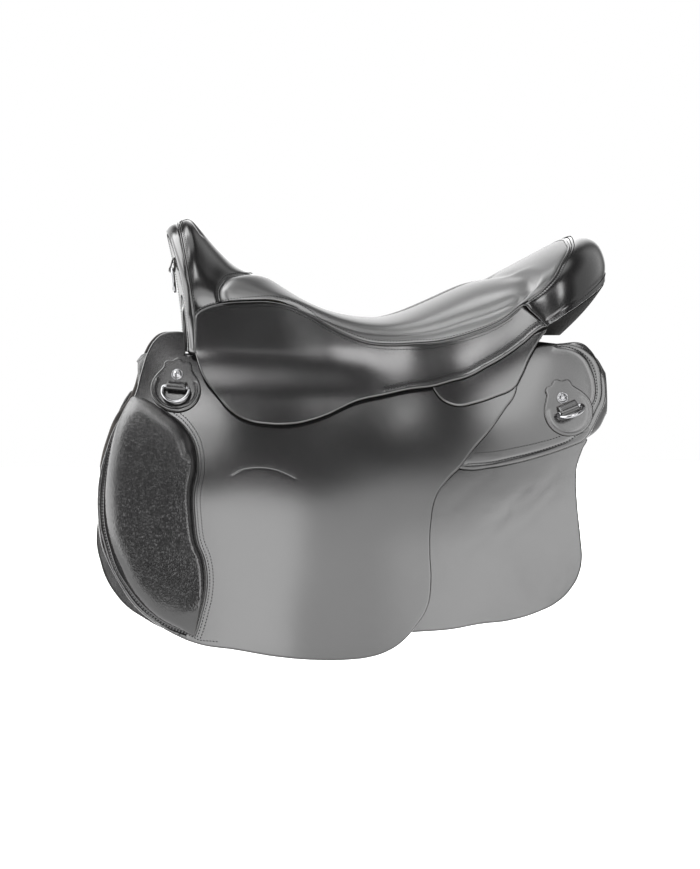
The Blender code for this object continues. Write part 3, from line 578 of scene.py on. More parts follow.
@dataclass
class LeatherCut:
    """Leather cut to a flat outline, laid on a surface, with rounded edges and its pressed lines."""

    layer: Layer
    outline: Array
    thickness: float
    grid: float = 5.0
    edge: float = 1.4
    creases: Sequence[Crease] = ()
    swell: Optional[Swell] = None
    lift: Optional[Callable[[Array], Array]] = None
    insets: ClassVar[tuple[float, ...]] = (0.1, 0.35, 0.65, 1.0, 1.9)
    crease_rows: ClassVar[tuple[float, ...]] = (-2.0, -1.2, -0.6, 0, 0.6, 1.2, 2.0)
    crease_step: ClassVar[float] = 1.8

    def build(self) -> Solid:
        """Makes the leather.

        Returns:
            A closed solid: group 0 is the grain side and the edge, group 1 the flesh side.
        """
        points, triangles, border = self._pattern()
        depth = path_distance(points, self.outline, True)
        depth[border] = 0.0
        round_off = np.sqrt(1 - (1 - np.clip(depth / self.edge, 0, 1)) ** 2)
        wave = self.swell.at(*points.T) if self.swell else np.zeros(len(points))
        top = self.thickness * (0.5 + 0.5 * round_off) + wave
        low = self.thickness * (0.5 - 0.5 * round_off) + wave
        for crease in self.creases:
            reach = path_distance(points, crease.path)
            top -= crease.depth * bell(reach, crease.width) * ease(0, 1.5, depth)
        if self.lift:
            top += self.lift(points)
        upper = self.layer.place(*points.T, top)
        inner = np.flatnonzero(~border)
        lower = self.layer.place(*points[inner].T, low[inner])
        number = np.arange(len(points))
        number[inner] = len(points) + np.arange(len(inner))
        if self.layer.side is Side.RIGHT:
            triangles = triangles[:, ::-1]
        rim = 1 - ease(0.2, 1.1, depth / self.edge)
        rims = np.concatenate([rim, rim[inner]])
        return Solid(np.vstack([upper, lower]), [(triangles, 0), (number[triangles][:, ::-1], 1)], rims)

    def _pattern(self) -> tuple[Array, Array, Array]:
        """Flat mesh of the outline.

        Returns:
            Its points, its triangles, and which points lie on the outline.
        """
        loop = self.outline
        x, z = loop.T
        if (x * np.roll(z, -1) - np.roll(x, -1) * z).sum() < 0:
            loop = loop[::-1]
        groups = []
        for inset in self.insets:
            ring = beside(loop, inset * self.edge, True)
            near = path_distance(ring, loop, True)
            groups.append(ring[(near > 0.93 * inset * self.edge) & inside(ring, loop)])
        last = self.insets[-1] * self.edge
        for crease in self.creases:
            centre = evenly(crease.path, self.crease_step, measured=2)
            for shift in self.crease_rows:
                row = beside(centre, shift * crease.width)
                clear = path_distance(row, loop, True) > last + 0.5
                groups.append(row[clear & inside(row, loop)])
        groups.append(self._filling(loop, last))
        every = np.vstack([loop, *groups])
        ties = [(i, (i + 1) % len(loop)) for i in range(len(loop))]
        corners = [Vector(point) for point in every.tolist()]
        flat, _, faces, origins, _, _ = delaunay_2d_cdt(corners, ties, [], 1, 1e-4)
        border = np.array([any(k < len(loop) for k in origin) for origin in origins])
        triangles = np.array([face[:] for face in faces if len(face) == 3])
        points = np.array([tuple(p) for p in flat])
        a, b, c = (points[triangles[:, k]] for k in range(3))
        turning = (b - a)[:, 0] * (c - a)[:, 1] - (b - a)[:, 1] * (c - a)[:, 0]
        triangles[turning < 0] = triangles[turning < 0][:, ::-1]
        return points, triangles, border

    def _filling(self, loop: Array, last: float) -> Array:
        """Evenly spread points inside the outline, clear of its edge and of the pressed lines.

        Args:
            loop: The outline.
            last: How far in the edge's own points reach.

        Returns:
            The points.
        """
        low, high = loop.min(0), loop.max(0)
        rows = np.arange(low[1], high[1], self.grid * 0.866)
        columns = np.arange(low[0], high[0], self.grid)
        x, z = np.meshgrid(columns, rows)
        x = x + (np.arange(len(rows)) % 2 * self.grid / 2)[:, None]
        points = np.stack([x.ravel(), z.ravel()], -1)
        points = points[inside(points, loop)]
        points = points[path_distance(points, loop, True) > last + 0.5 * self.grid]
        for crease in self.creases:
            points = points[path_distance(points, crease.path) > 2 * crease.width + 0.4 * self.grid]
        return points


@dataclass(frozen=True)
class Stitching:
    """Row of thread stitches that lie along a seam and dip into the leather at their ends."""

    pitch: float = 3.5
    length: float = 1.9
    radius: float = 0.55
    slant: float = 0.14
    ends: ClassVar[tuple[tuple[float, float, float], ...]] = (
        (-0.5, 0.3, -1.0), (-0.42, 0.8, -0.2), (-0.2, 1.0, 0.35),
        (0.2, 1.0, 0.35), (0.42, 0.8, -0.2), (0.5, 0.3, -1.0),
    )

    def sew(self, seam: Array) -> Solid:
        """Sews a row.

        Args:
            seam: Points and normals along the seam, as rows of six numbers.

        Returns:
            The stitches as one solid.
        """
        row = evenly(seam, self.pitch)
        centre = (row[:-1, :3] + row[1:, :3]) / 2
        normal = unit(row[:-1, 3:] + row[1:, 3:])
        run = unit(row[1:, :3] - row[:-1, :3])
        across = unit(np.cross(run, normal))
        run = unit(run + across * self.slant)
        across = np.cross(run, normal)
        sides = 6
        turns = np.arange(sides) * math.tau / sides
        points = np.empty((len(centre), len(self.ends), sides, 3))
        for k, (place, share, dip) in enumerate(self.ends):
            middle = centre + run * place * self.length + normal * dip * self.radius
            for j, turn in enumerate(turns):
                ring = across * math.cos(turn) + normal * math.sin(turn)
                points[:, k, j] = middle + ring * share * self.radius
        number = np.arange(points[..., 0].size).reshape(points.shape[:3])
        after = np.roll(number, -1, 2)
        walls = np.stack([number[:, :-1], after[:, :-1], after[:, 1:], number[:, 1:]], -1)
        caps = np.concatenate([number[:, 0, ::-1], number[:, -1]])
        return Solid(points.reshape(-1, 3), [(walls.reshape(-1, 4)[:, ::-1], 0), (caps[:, ::-1], 0)])


def tube(path: Array, radius: float, sides: int = 10, closed: bool = False) -> Solid:
    """Round bar along a path.

    Args:
        path: Points and reference normals, as rows of six numbers.
        radius: The bar's radius.
        sides: How many sides it has.
        closed: Whether the path returns to its start.

    Returns:
        The bar.
    """
    centre, reference = path[:, :3], path[:, 3:]
    run = unit(heading(centre, closed))
    across = unit(np.cross(run, reference))
    normal = np.cross(across, run)
    turns = np.arange(sides) * math.tau / sides
    rings = [centre + (across * math.cos(t) + normal * math.sin(t)) * radius for t in turns]
    points = np.stack(rings, 1)
    number = np.arange(len(centre) * sides).reshape(len(centre), sides)
    ahead = np.roll(number, -1, 0) if closed else number[1:]
    here = number if closed else number[:-1]
    walls = np.stack([here, np.roll(here, -1, 1), np.roll(ahead, -1, 1), ahead], -1).reshape(-1, 4)
    faces: Faces = [(walls[:, ::-1], 0)]
    if not closed:
        faces.append((np.stack([number[0], number[-1][::-1]]), 0))
    return Solid(points.reshape(-1, 3), faces)


def quads_of(grid: Array) -> Array:
    """Four-cornered faces between the numbered points of a grid."""
    corners = (grid[:-1, :-1], grid[1:, :-1], grid[1:, 1:], grid[:-1, 1:])
    return np.stack(corners, -1).reshape(-1, 4)


def graded(start: float, end: float, count: int, length: float) -> tuple[Array, Array]:
    """Steps from one value to another that close up at both ends, for a shell's rounded edge.

    Args:
        start: First value.
        end: Last value.
        count: Number of steps between the ends.
        length: Distance in millimetres that the whole run covers.

    Returns:
        The values, and at each the share of the thickness by which the rounded edge falls.
    """
    near = np.array([0, 0.15, 0.5, 1.1]) / length
    fall = np.array([0.5, 0.24, 0.06, 0.0])
    middle = np.linspace(near[-1], 1 - near[-1], count)[1:-1]
    shares = np.concatenate([near, middle, 1 - near[::-1]])
    return start + (end - start) * shares, np.concatenate([fall, np.zeros(len(middle)), fall[::-1]])


def end_falls(count: int, second: float = 0.0) -> Array:
    """Shares of the thickness by which a row of points falls at its two ends, for a rounded edge.

    Args:
        count: How many points there are.
        second: Share at the points next to the ends.

    Returns:
        One share a point.
    """
    falls = np.zeros(count)
    falls[[0, -1]] = 0.5
    falls[[1, -2]] = second
    return falls


def shell(
    rows: Array, thickness: float, falls: tuple[Array, Array], out: Array, kinds: tuple[int, int] = (0, 1)
) -> Solid:
    """Leather of one thickness under a grid of points, with rounded edges.

    Args:
        rows: Points of the outer face, as rows of a grid.
        thickness: The leather's thickness.
        falls: How far the edge falls along the rows and along the columns.
        out: Rough outward directions, one a point or one for all.
        kinds: Finish numbers of the outer and the inner face.

    Returns:
        The closed shell.
    """
    normal = unit(np.cross(np.gradient(rows, axis=0), np.gradient(rows, axis=1)))
    flip = (normal * out).sum(-1).mean() < 0
    if flip:
        normal = -normal
    fall = np.maximum(falls[0][:, None], falls[1][None, :])
    outer = rows - normal * (thickness * fall)[..., None]
    inner = rows - normal * (thickness * (1 - fall))[..., None]
    number = np.arange(fall.size).reshape(fall.shape)
    free = fall < 0.5
    low = number.copy()
    low[free] = fall.size + np.arange(free.sum())
    quads = [quads_of(number), quads_of(low)]
    if flip:
        quads = [group[:, ::-1] for group in quads]
    rim = np.clip(fall * 2, 0, 1)
    points = np.vstack([outer.reshape(-1, 3), inner[free]])
    rims = np.concatenate([rim.ravel(), rim[free]])
    return Solid(points, [(quads[0], kinds[0]), (quads[1][:, ::-1], kinds[1])], rims)


def ring_loft(rings: Array) -> Solid:
    """Closed solid through rings of points, with flat ends.

    Args:
        rings: Rings of points, first to last.

    Returns:
        The solid, with its faces pointing out.
    """
    count, sides = rings.shape[:2]
    number = np.arange(count * sides).reshape(count, sides)
    after = np.roll(number, -1, 1)
    walls = np.stack([number[:-1], after[:-1], after[1:], number[1:]], -1).reshape(-1, 4)
    caps = np.stack([number[0][::-1], number[-1]])
    middle = rings.mean(1)
    spread = np.cross(np.roll(rings, -1, 1) - rings, np.roll(middle, -1, 0)[:, None] - middle[:, None])
    if (spread[:-1] * (rings - middle[:, None])[:-1]).sum() < 0:
        walls, caps = walls[:, ::-1], caps[:, ::-1]
    return Solid(rings.reshape(-1, 3), [(walls, 0), (caps, 0)])


@dataclass(frozen=True)
class Signal:
    """Number or colour that a shader works out, with arithmetic of its own."""

    shader: "Shader"
    socket: bpy.types.NodeSocket

    def apply(self, operation: str, *terms: Term) -> "Signal":
        """One step of arithmetic on the terms given."""
        return self.shader.read("ShaderNodeMath", 0, {"operation": operation}, dict(enumerate(terms)))

    def __add__(self, other: Term) -> "Signal":
        """Sum."""
        return self.apply("ADD", self, other)

    __radd__ = __add__

    def __sub__(self, other: Term) -> "Signal":
        """Difference."""
        return self.apply("SUBTRACT", self, other)

    def __rsub__(self, other: float) -> "Signal":
        """Difference from a number."""
        return self.apply("SUBTRACT", other, self)

    def __mul__(self, other: Term) -> "Signal":
        """Product."""
        return self.apply("MULTIPLY", self, other)

    __rmul__ = __mul__

    def step(self, start: float, end: float) -> "Signal":
        """Smooth step.

        Args:
            start: Value at which the step is 0.
            end: Value at which it is 1.

        Returns:
            The step, from 0 to 1.
        """
        low, high = sorted((start, end))
        to = (0.0, 1.0) if start < end else (1.0, 0.0)
        values = {0: self, 1: low, 2: high, 3: to[0], 4: to[1]}
        return self.shader.read("ShaderNodeMapRange", 0, {"interpolation_type": "SMOOTHSTEP"}, values)

    def between(self, low: tuple, high: tuple) -> "Signal":
        """Colour that goes from one to another as the signal goes from 0 to 1."""
        values = {0: self, 6: (*low, 1), 7: (*high, 1)}
        return self.shader.read("ShaderNodeMix", 2, {"data_type": "RGBA"}, values)


class Shader:
    """Nodes of one finish or of the studio's light."""

    def __init__(self, tree: bpy.types.NodeTree) -> None:
        """Empties a node tree to build in it."""
        tree.nodes.clear()
        self.tree = tree

    def add(self, kind: str, settings: dict, values: dict) -> bpy.types.Node:
        """Adds a node.

        Args:
            kind: The node's type.
            settings: Its properties by name.
            values: Its inputs by name or number, as numbers, vectors or signals to link.

        Returns:
            The node.
        """
        node = self.tree.nodes.new(kind)
        for name, value in settings.items():
            setattr(node, name, value)
        for key, value in values.items():
            if isinstance(value, Signal):
                self.tree.links.new(value.socket, node.inputs[key])
            else:
                node.inputs[key].default_value = value
        return node

    def read(
        self, kind: str, output: Union[str, int] = 0, settings: Optional[dict] = None,
        values: Optional[dict] = None,
    ) -> Signal:
        """Adds a node and gives the output of that name or number."""
        return Signal(self, self.add(kind, settings or {}, values or {}).outputs[output])

    def place(self, stretch: tuple = (1.0, 1.0, 1.0)) -> Signal:
        """Place on the saddle in millimetres, each axis stretched.

        Args:
            stretch: Factors by which the pattern is drawn out along each axis.

        Returns:
            The place.
        """
        where = self.read("ShaderNodeTexCoord", "Object")
        scale = tuple(1000 / s for s in stretch)
        return self.read("ShaderNodeVectorMath", 0, {"operation": "MULTIPLY"}, {0: where, 1: scale})

    def noise(self, place: Signal, size: float, detail: float = 2.0) -> Signal:
        """Cloudy noise about 0.5, with clouds of a size in millimetres and so many finer layers."""
        values = {"Vector": place, "Scale": 1 / size, "Detail": detail}
        return self.read("ShaderNodeTexNoise", 0, {}, values)

    def cells(self, place: Signal, size: float) -> Signal:
        """Distance from the edge of pebbled cells of a size in millimetres."""
        values = {"Vector": place, "Scale": 1 / size}
        return self.read("ShaderNodeTexVoronoi", "Distance", {"feature": "DISTANCE_TO_EDGE"}, values)

    def bump(self, height: Signal, depth: float, below: Optional[Signal] = None) -> Signal:
        """Surface normal bent by a height.

        Args:
            height: The height, from 0 to 1.
            depth: How many millimetres that stands for.
            below: Normal that this bump is laid over.

        Returns:
            The bent normal.
        """
        values = {"Height": height, "Distance": depth * MM, "Strength": 1.0}
        if below:
            values["Normal"] = below
        return self.read("ShaderNodeBump", 0, {}, values)

    def surface(self, values: dict) -> None:
        """Ends the finish in a principled surface with these inputs."""
        body = self.read("ShaderNodeBsdfPrincipled", 0, {}, values)
        self.add("ShaderNodeOutputMaterial", {}, {"Surface": body})


@dataclass(frozen=True)
class Finish:
    """A finish that a piece can wear."""

    name: str

    def paint(self, shader: Shader) -> None:
        """Builds the finish's nodes."""
        raise NotImplementedError

    def material(self) -> bpy.types.Material:
        """The finish's material, made when it is first asked for.

        Returns:
            The material.
        """
        made = bpy.data.materials.get(self.name)
        if made is None:
            made = bpy.data.materials.new(self.name)
            made.use_nodes = True
            self.paint(Shader(made.node_tree))
        return made


@dataclass(frozen=True)
class GrainLeather(Finish):
    """Grain side of a dyed leather: pebbled cells, slow creasing, a little wear at cut edges."""

    colour: tuple = (0.0032, 0.0032, 0.0034)
    worn: tuple = (0.04, 0.037, 0.034)
    roughness: float = 0.11
    cell: float = 1.5
    depth: float = 0.09
    crease: float = 0.35
    crease_size: float = 22.0
    stretch: tuple = (1.0, 1.0, 1.0)
    coat: float = 0.35
    cloud: float = 0.05
    ior: float = 1.5

    def paint(self, shader: Shader) -> None:
        """Builds the leather's nodes.

        Args:
            shader: Where the nodes go.
        """
        place = shader.place(self.stretch)
        wide = shader.place()
        cells = shader.cells(place, self.cell).step(0.0, 0.45)
        fine = shader.noise(place, self.cell * 0.45)
        slow = shader.noise(wide, self.crease_size, 4.0)
        clouds = shader.noise(wide, 60.0, 3.0)
        rim = shader.read("ShaderNodeAttribute", "Fac", {"attribute_name": "rim"})
        wear = rim * clouds.step(0.35, 0.75) * 0.6 + (1 - cells) * 0.05
        rough = self.roughness + (clouds - 0.5) * self.cloud + (1 - cells) * 0.05 + fine * 0.03
        normal = shader.bump(slow, self.crease)
        normal = shader.bump(cells * 0.75 + fine * 0.25, self.depth, normal)
        shader.surface({
            "Base Color": wear.between(self.colour, self.worn), "Roughness": rough, "Normal": normal,
            "Coat Weight": self.coat, "Coat Roughness": 0.12, "IOR": self.ior,
        })


@dataclass(frozen=True)
class FleshLeather(Finish):
    """Flesh side of a leather: matte and napped."""

    colour: tuple = (0.018, 0.016, 0.015)
    worn: tuple = (0.035, 0.031, 0.028)
    ior: float = 1.4

    def paint(self, shader: Shader) -> None:
        """Builds the nap's nodes.

        Args:
            shader: Where the nodes go.
        """
        place = shader.place()
        nap = shader.noise(place, 0.7, 3.0)
        clouds = shader.noise(place, 30.0, 3.0)
        shader.surface({
            "Base Color": clouds.step(0.35, 0.7).between(self.colour, self.worn),
            "Roughness": 0.75 + nap * 0.2, "Normal": shader.bump(nap, 0.16), "IOR": self.ior,
        })


@dataclass(frozen=True)
class Thread(Finish):
    """Waxed, twisted sewing thread."""

    colour: tuple = (0.004, 0.004, 0.004)
    shine: tuple = (0.014, 0.014, 0.014)

    def paint(self, shader: Shader) -> None:
        """Builds the thread's nodes.

        Args:
            shader: Where the nodes go.
        """
        twist = shader.noise(shader.place((1.0, 1.0, 0.4)), 0.35, 1.0)
        shader.surface({
            "Base Color": twist.between(self.colour, self.shine), "Roughness": 0.6 + twist * 0.2,
            "Normal": shader.bump(twist, 0.08), "Specular IOR Level": 0.12,
        })


@dataclass(frozen=True)
class Metal(Finish):
    """Plated or forged metal with fine marks from handling."""

    colour: tuple
    roughness: float
    marks: float
    stretch: tuple = (1.0, 1.0, 1.0)

    def paint(self, shader: Shader) -> None:
        """Builds the metal's nodes.

        Args:
            shader: Where the nodes go.
        """
        marks = shader.noise(shader.place(self.stretch), 2.5, 4.0)
        clouds = shader.noise(shader.place(), 18.0, 2.0)
        rough = self.roughness + (marks - 0.4) * self.marks + (clouds - 0.5) * self.marks * 0.5
        shader.surface({
            "Base Color": self.colour + (1,), "Metallic": 1.0, "Roughness": rough,
            "Normal": shader.bump(marks, self.marks * 0.12),
        })


@dataclass(frozen=True)
class LaminatedWood(Finish):
    """Bent laminated wood under black lacquer, with its figure drawn out along the saddle."""

    dark: tuple = (0.012, 0.010, 0.009)
    pale: tuple = (0.030, 0.024, 0.020)

    def paint(self, shader: Shader) -> None:
        """Builds the wood's nodes.

        Args:
            shader: Where the nodes go.
        """
        figure = shader.noise(shader.place((9.0, 1.2, 1.2)), 3.0, 5.0)
        pores = shader.noise(shader.place((14.0, 1.0, 1.0)), 0.8, 2.0)
        shader.surface({
            "Base Color": (figure * 0.7 + pores * 0.3).step(0.3, 0.7).between(self.dark, self.pale),
            "Roughness": 0.5 + pores * 0.2, "Normal": shader.bump(pores, 0.12), "Coat Weight": 0.1,
        })


@dataclass(frozen=True)
class CellFoam(Finish):
    """Seat foam with open cells, darker along the sunken cell edges as painted shade in the pores."""

    dark: tuple = (0.42, 0.38, 0.28)
    pale: tuple = (0.66, 0.62, 0.50)

    def paint(self, shader: Shader) -> None:
        """Builds the foam's nodes.

        Args:
            shader: Where the nodes go.
        """
        place = shader.place()
        cells = shader.cells(place, 1.3).step(0.0, 0.4)
        clouds = shader.noise(place, 25.0, 3.0)
        # The colour is darker where the cell bump sinks, which is painted shade in the pores; the cloudy part
        # is random tone.
        shader.surface({
            "Base Color": (cells * 0.6 + clouds * 0.4).between(self.dark, self.pale), "Roughness": 0.95,
            "Normal": shader.bump(cells, 0.35),
        })


FLAP_LEATHER = GrainLeather("flap_leather", cell=1.3, depth=0.02, crease=0.12, crease_size=30.0)
SEAT_LEATHER = GrainLeather(
    "seat_leather", roughness=0.36, cell=1.9, depth=0.06, crease=0.05, coat=0.1, ior=1.9,
)
POMMEL_LEATHER = GrainLeather("pommel_leather", cell=1.4, depth=0.02, crease=0.06)
ROLL_LEATHER = GrainLeather(
    "knee_roll_leather", roughness=0.17, cell=2.0, depth=0.12, crease=0.05, crease_size=9.0,
    stretch=(0.8, 0.8, 1.9), coat=0.1,
)
SWEAT_LEATHER = GrainLeather(
    "sweat_flap_leather", roughness=0.15, cell=1.6, depth=0.03, crease=0.45, crease_size=30.0,
)
PANEL_LEATHER = GrainLeather(
    "panel_leather", roughness=0.3, cell=2.0, depth=0.16, crease=0.5, crease_size=16.0, coat=0.15,
)
PIPING_LEATHER = GrainLeather("piping_leather", roughness=0.2, cell=1.0, depth=0.05, crease=0.05)
FLESH = FleshLeather("leather_flesh_side")
# Darker, less reflective copy of the flesh finish for the leather under the cantle: its dark colour is
# painted shade under the cantle's overhang.
PAINTED_SHADE_BACK_LEATHER = FleshLeather("cantle_back_leather", (0.004, 0.004, 0.004), (0.008, 0.0076, 0.0072), 1.15)
THREAD = Thread("waxed_thread")
CHROME = Metal("chrome_plate", (0.2, 0.2, 0.205), 0.12, 0.05)
FORGED = Metal("forged_steel", (0.45, 0.45, 0.46), 0.36, 0.22)
BRUSHED = Metal("brushed_steel", (0.5, 0.5, 0.51), 0.34, 0.2, (1.0, 12.0, 1.0))
WOOD = LaminatedWood("laminated_wood")
FOAM = CellFoam("seat_foam_cells")


@dataclass(frozen=True)
class Look:
    """What a piece wears: the finishes of its face groups, and a material slot of the record that is kept
    here but not given to the piece.
    """

    slot: Slot
    finishes: tuple[Finish, ...]


@dataclass(frozen=True)
class Bend:
    """How a leather bends between the fixed saddle and a moving body."""

    body: str
    start: Array
    end: Array


class Bench:
    """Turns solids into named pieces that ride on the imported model."""

    def __init__(self) -> None:
        """Starts with no pieces."""
        self.count = 0
        self.corners = 0

    def fit(
        self, name: str, solid: Solid, look: Look, carrier: Union[str, Bend] = "saddle",
        stands_for: Sequence[str] = (),
    ) -> bpy.types.Object:
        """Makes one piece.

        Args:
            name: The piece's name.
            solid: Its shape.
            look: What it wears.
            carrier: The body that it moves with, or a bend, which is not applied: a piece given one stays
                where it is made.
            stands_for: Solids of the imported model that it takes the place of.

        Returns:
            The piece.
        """
        mesh = solid.mesh(name)
        for finish in look.finishes:
            mesh.materials.append(finish.material())
        piece = bpy.data.objects.new(name, mesh)
        bpy.context.scene.collection.objects.link(piece)
        if isinstance(carrier, Bend):
            tuple(carrier.start * MM)
            tuple(carrier.end * MM)
            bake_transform(piece)
        else:
            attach(piece, carrier)
        if stands_for:
            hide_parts(*stands_for)
        self.count += 1
        self.corners += len(mesh.vertices)
        LOG.info("%s: %d points", name, len(mesh.vertices))
        return piece


LEATHER_LOOK = Look(Slot.LEATHER, (FLAP_LEATHER, FLESH))
SEAT_LOOK = Look(Slot.SOFT, (SEAT_LEATHER, FLESH))
POMMEL_LOOK = Look(Slot.LEATHER, (POMMEL_LEATHER, FLESH))
PAINTED_SHADE_BACK_LOOK = Look(Slot.LEATHER, (PAINTED_SHADE_BACK_LEATHER, FLESH))
ROLL_LOOK = Look(Slot.SOFT, (ROLL_LEATHER, ROLL_LEATHER))
SWEAT_LOOK = Look(Slot.SOFT, (SWEAT_LEATHER, FLESH))
PANEL_LOOK = Look(Slot.SOFT, (PANEL_LEATHER,))
PIPING_LOOK = Look(Slot.LEATHER, (PIPING_LEATHER,))
THREAD_LOOK = Look(Slot.LEATHER, (THREAD,))
FOAM_LOOK = Look(Slot.FOAM, (FOAM,))
CHROME_LOOK = Look(Slot.CHROME, (CHROME,))
SEWN = Stitching()


@dataclass(frozen=True)
class CoverShape:
    """Relief of the covers over the seat form: cushions, channel, seams and folds, in millimetres."""

    front_seam: tuple = (
        (6.1, 0), (5.8, 26), (5.2, 44), (4.7, 56), (4.4, 66), (4.2, 74), (4.2, 80), (4.4, 90),
    )
    rear_seam: tuple = (
        (18.0, 0), (18.0, 26), (18.2, 38), (18.3, 48), (18.4, 60), (18.6, 68), (18.5, 80), (18.3, 85),
        (18.0, 90),
    )
    cushion_edge: tuple = (
        (8.0, 90), (9.0, 78), (10.2, 68), (11.6, 65), (13.4, 71), (14.8, 71), (15.9, 74), (16.8, 77),
        (17.3, 82), (17.6, 82), (17.5, 76), (17.2, 66), (16.8, 50), (16.4, 37), (16.1, 24), (15.8, 12),
        (15.7, 0),
    )
    rear_loop: tuple = (
        (16.2, 31), (16.6, 36), (16.95, 46), (17.35, 58), (17.75, 70), (17.95, 78), (17.85, 84),
    )
    cap_fold: tuple = ((1.0, 6), (1.6, 7), (2.2, 14), (3.0, 24))
    border: tuple = ((21.15, 88), (21.3, 74), (21.5, 52), (21.6, 25), (21.6, 0))
    cushion_rise: float = 6.0
    cushion_shoulder: float = 11.0
    channel_drop: float = 9.5
    channel_half: float = 13.0
    folds: tuple = (
        ("cushion_edge", -1.1, 5.0), ("rear_loop", 1.1, 5.0), ("cap_fold", -0.9, 3.0), ("border", -0.5, 2.4),
    )
    tucks: tuple = (("front_seam", 2.6, 3.6), ("rear_seam", 2.0, 3.2))
    slack: Swell = Swell(0.25, 120.0, 5)

    @staticmethod
    def _plane(u: Array, angle: Array) -> Array:
        """Places on the seat, laid flat in about millimetres."""
        return np.stack([np.ravel(u) * SEAT.station_mm, np.ravel(np.abs(angle)) * SEAT.degree_mm], -1)

    def seam_at(self, seam: Knots, angle: Array) -> Array:
        """Stations at which a seam crosses some angles.

        Args:
            seam: The seam's knots of station and angle.
            angle: The angles.

        Returns:
            One station an angle.
        """
        path = SEAT.path(seam, 3.0)
        order = np.argsort(path[:, 1])
        return np.interp(np.abs(angle), path[order, 1], path[order, 0])

    def relief(self, u: Array, angle: Array) -> Array:
        """Height of the covers above the seat form.

        Args:
            u: Stations.
            angle: Angles in degrees.

        Returns:
            One height a place.
        """
        shape = np.shape(u)
        plane = self._plane(u, angle)
        u, angle = np.ravel(u), np.ravel(angle)
        scale = (SEAT.station_mm, SEAT.degree_mm)
        lines = [name for name, _, _ in (*self.folds, *self.tucks)]
        paths = {name: SEAT.path(getattr(self, name), 4.0) * scale for name in lines}
        reach = {name: path_distance(plane, path) for name, path in paths.items()}
        within = inside(plane, np.vstack([paths["front_seam"], paths["cushion_edge"]]))
        edge = np.minimum(reach["cushion_edge"], reach["front_seam"] * 1.5)
        cushion = self.cushion_rise * (1 - np.exp(-((edge / self.cushion_shoulder) ** 1.5)))
        rise = np.where(within, cushion, 0.0)
        y = SEAT.point(u, angle)[:, 1]
        channel = ease(6.6, 8.6, u) * ease(16.2, 15.0, u)
        rise -= channel * self.channel_drop * np.exp(-np.abs(y / self.channel_half) ** 2.6)
        for name, height, width in self.folds:
            rise += height * bell(reach[name], width)
        for name, depth, width in self.tucks:
            rise -= depth * np.exp(-reach[name] / width)
        rise += self.slack.at(plane[:, 0], plane[:, 1] * np.sign(angle))
        return rise.reshape(shape)

    def at(self, u: Array, angle: Array, height: float = 0.0) -> Array:
        """Points over the covers.

        Args:
            u: Stations.
            angle: Angles in degrees.
            height: How high above the covers the points lie.

        Returns:
            One point a place.
        """
        u, angle = np.broadcast_arrays(np.asarray(u, float), np.asarray(angle, float))
        rise = self.relief(u, angle) + height
        return SEAT.point(u, angle) + SEAT.normal(u, angle) * rise[..., None]

    def along(self, path: Array, height: float = 0.0) -> Array:
        """Points and normals over a path of stations and angles, as rows of six numbers."""
        return np.hstack([self.at(*path.T, height), SEAT.normal(*path.T)])


COVERS = CoverShape()


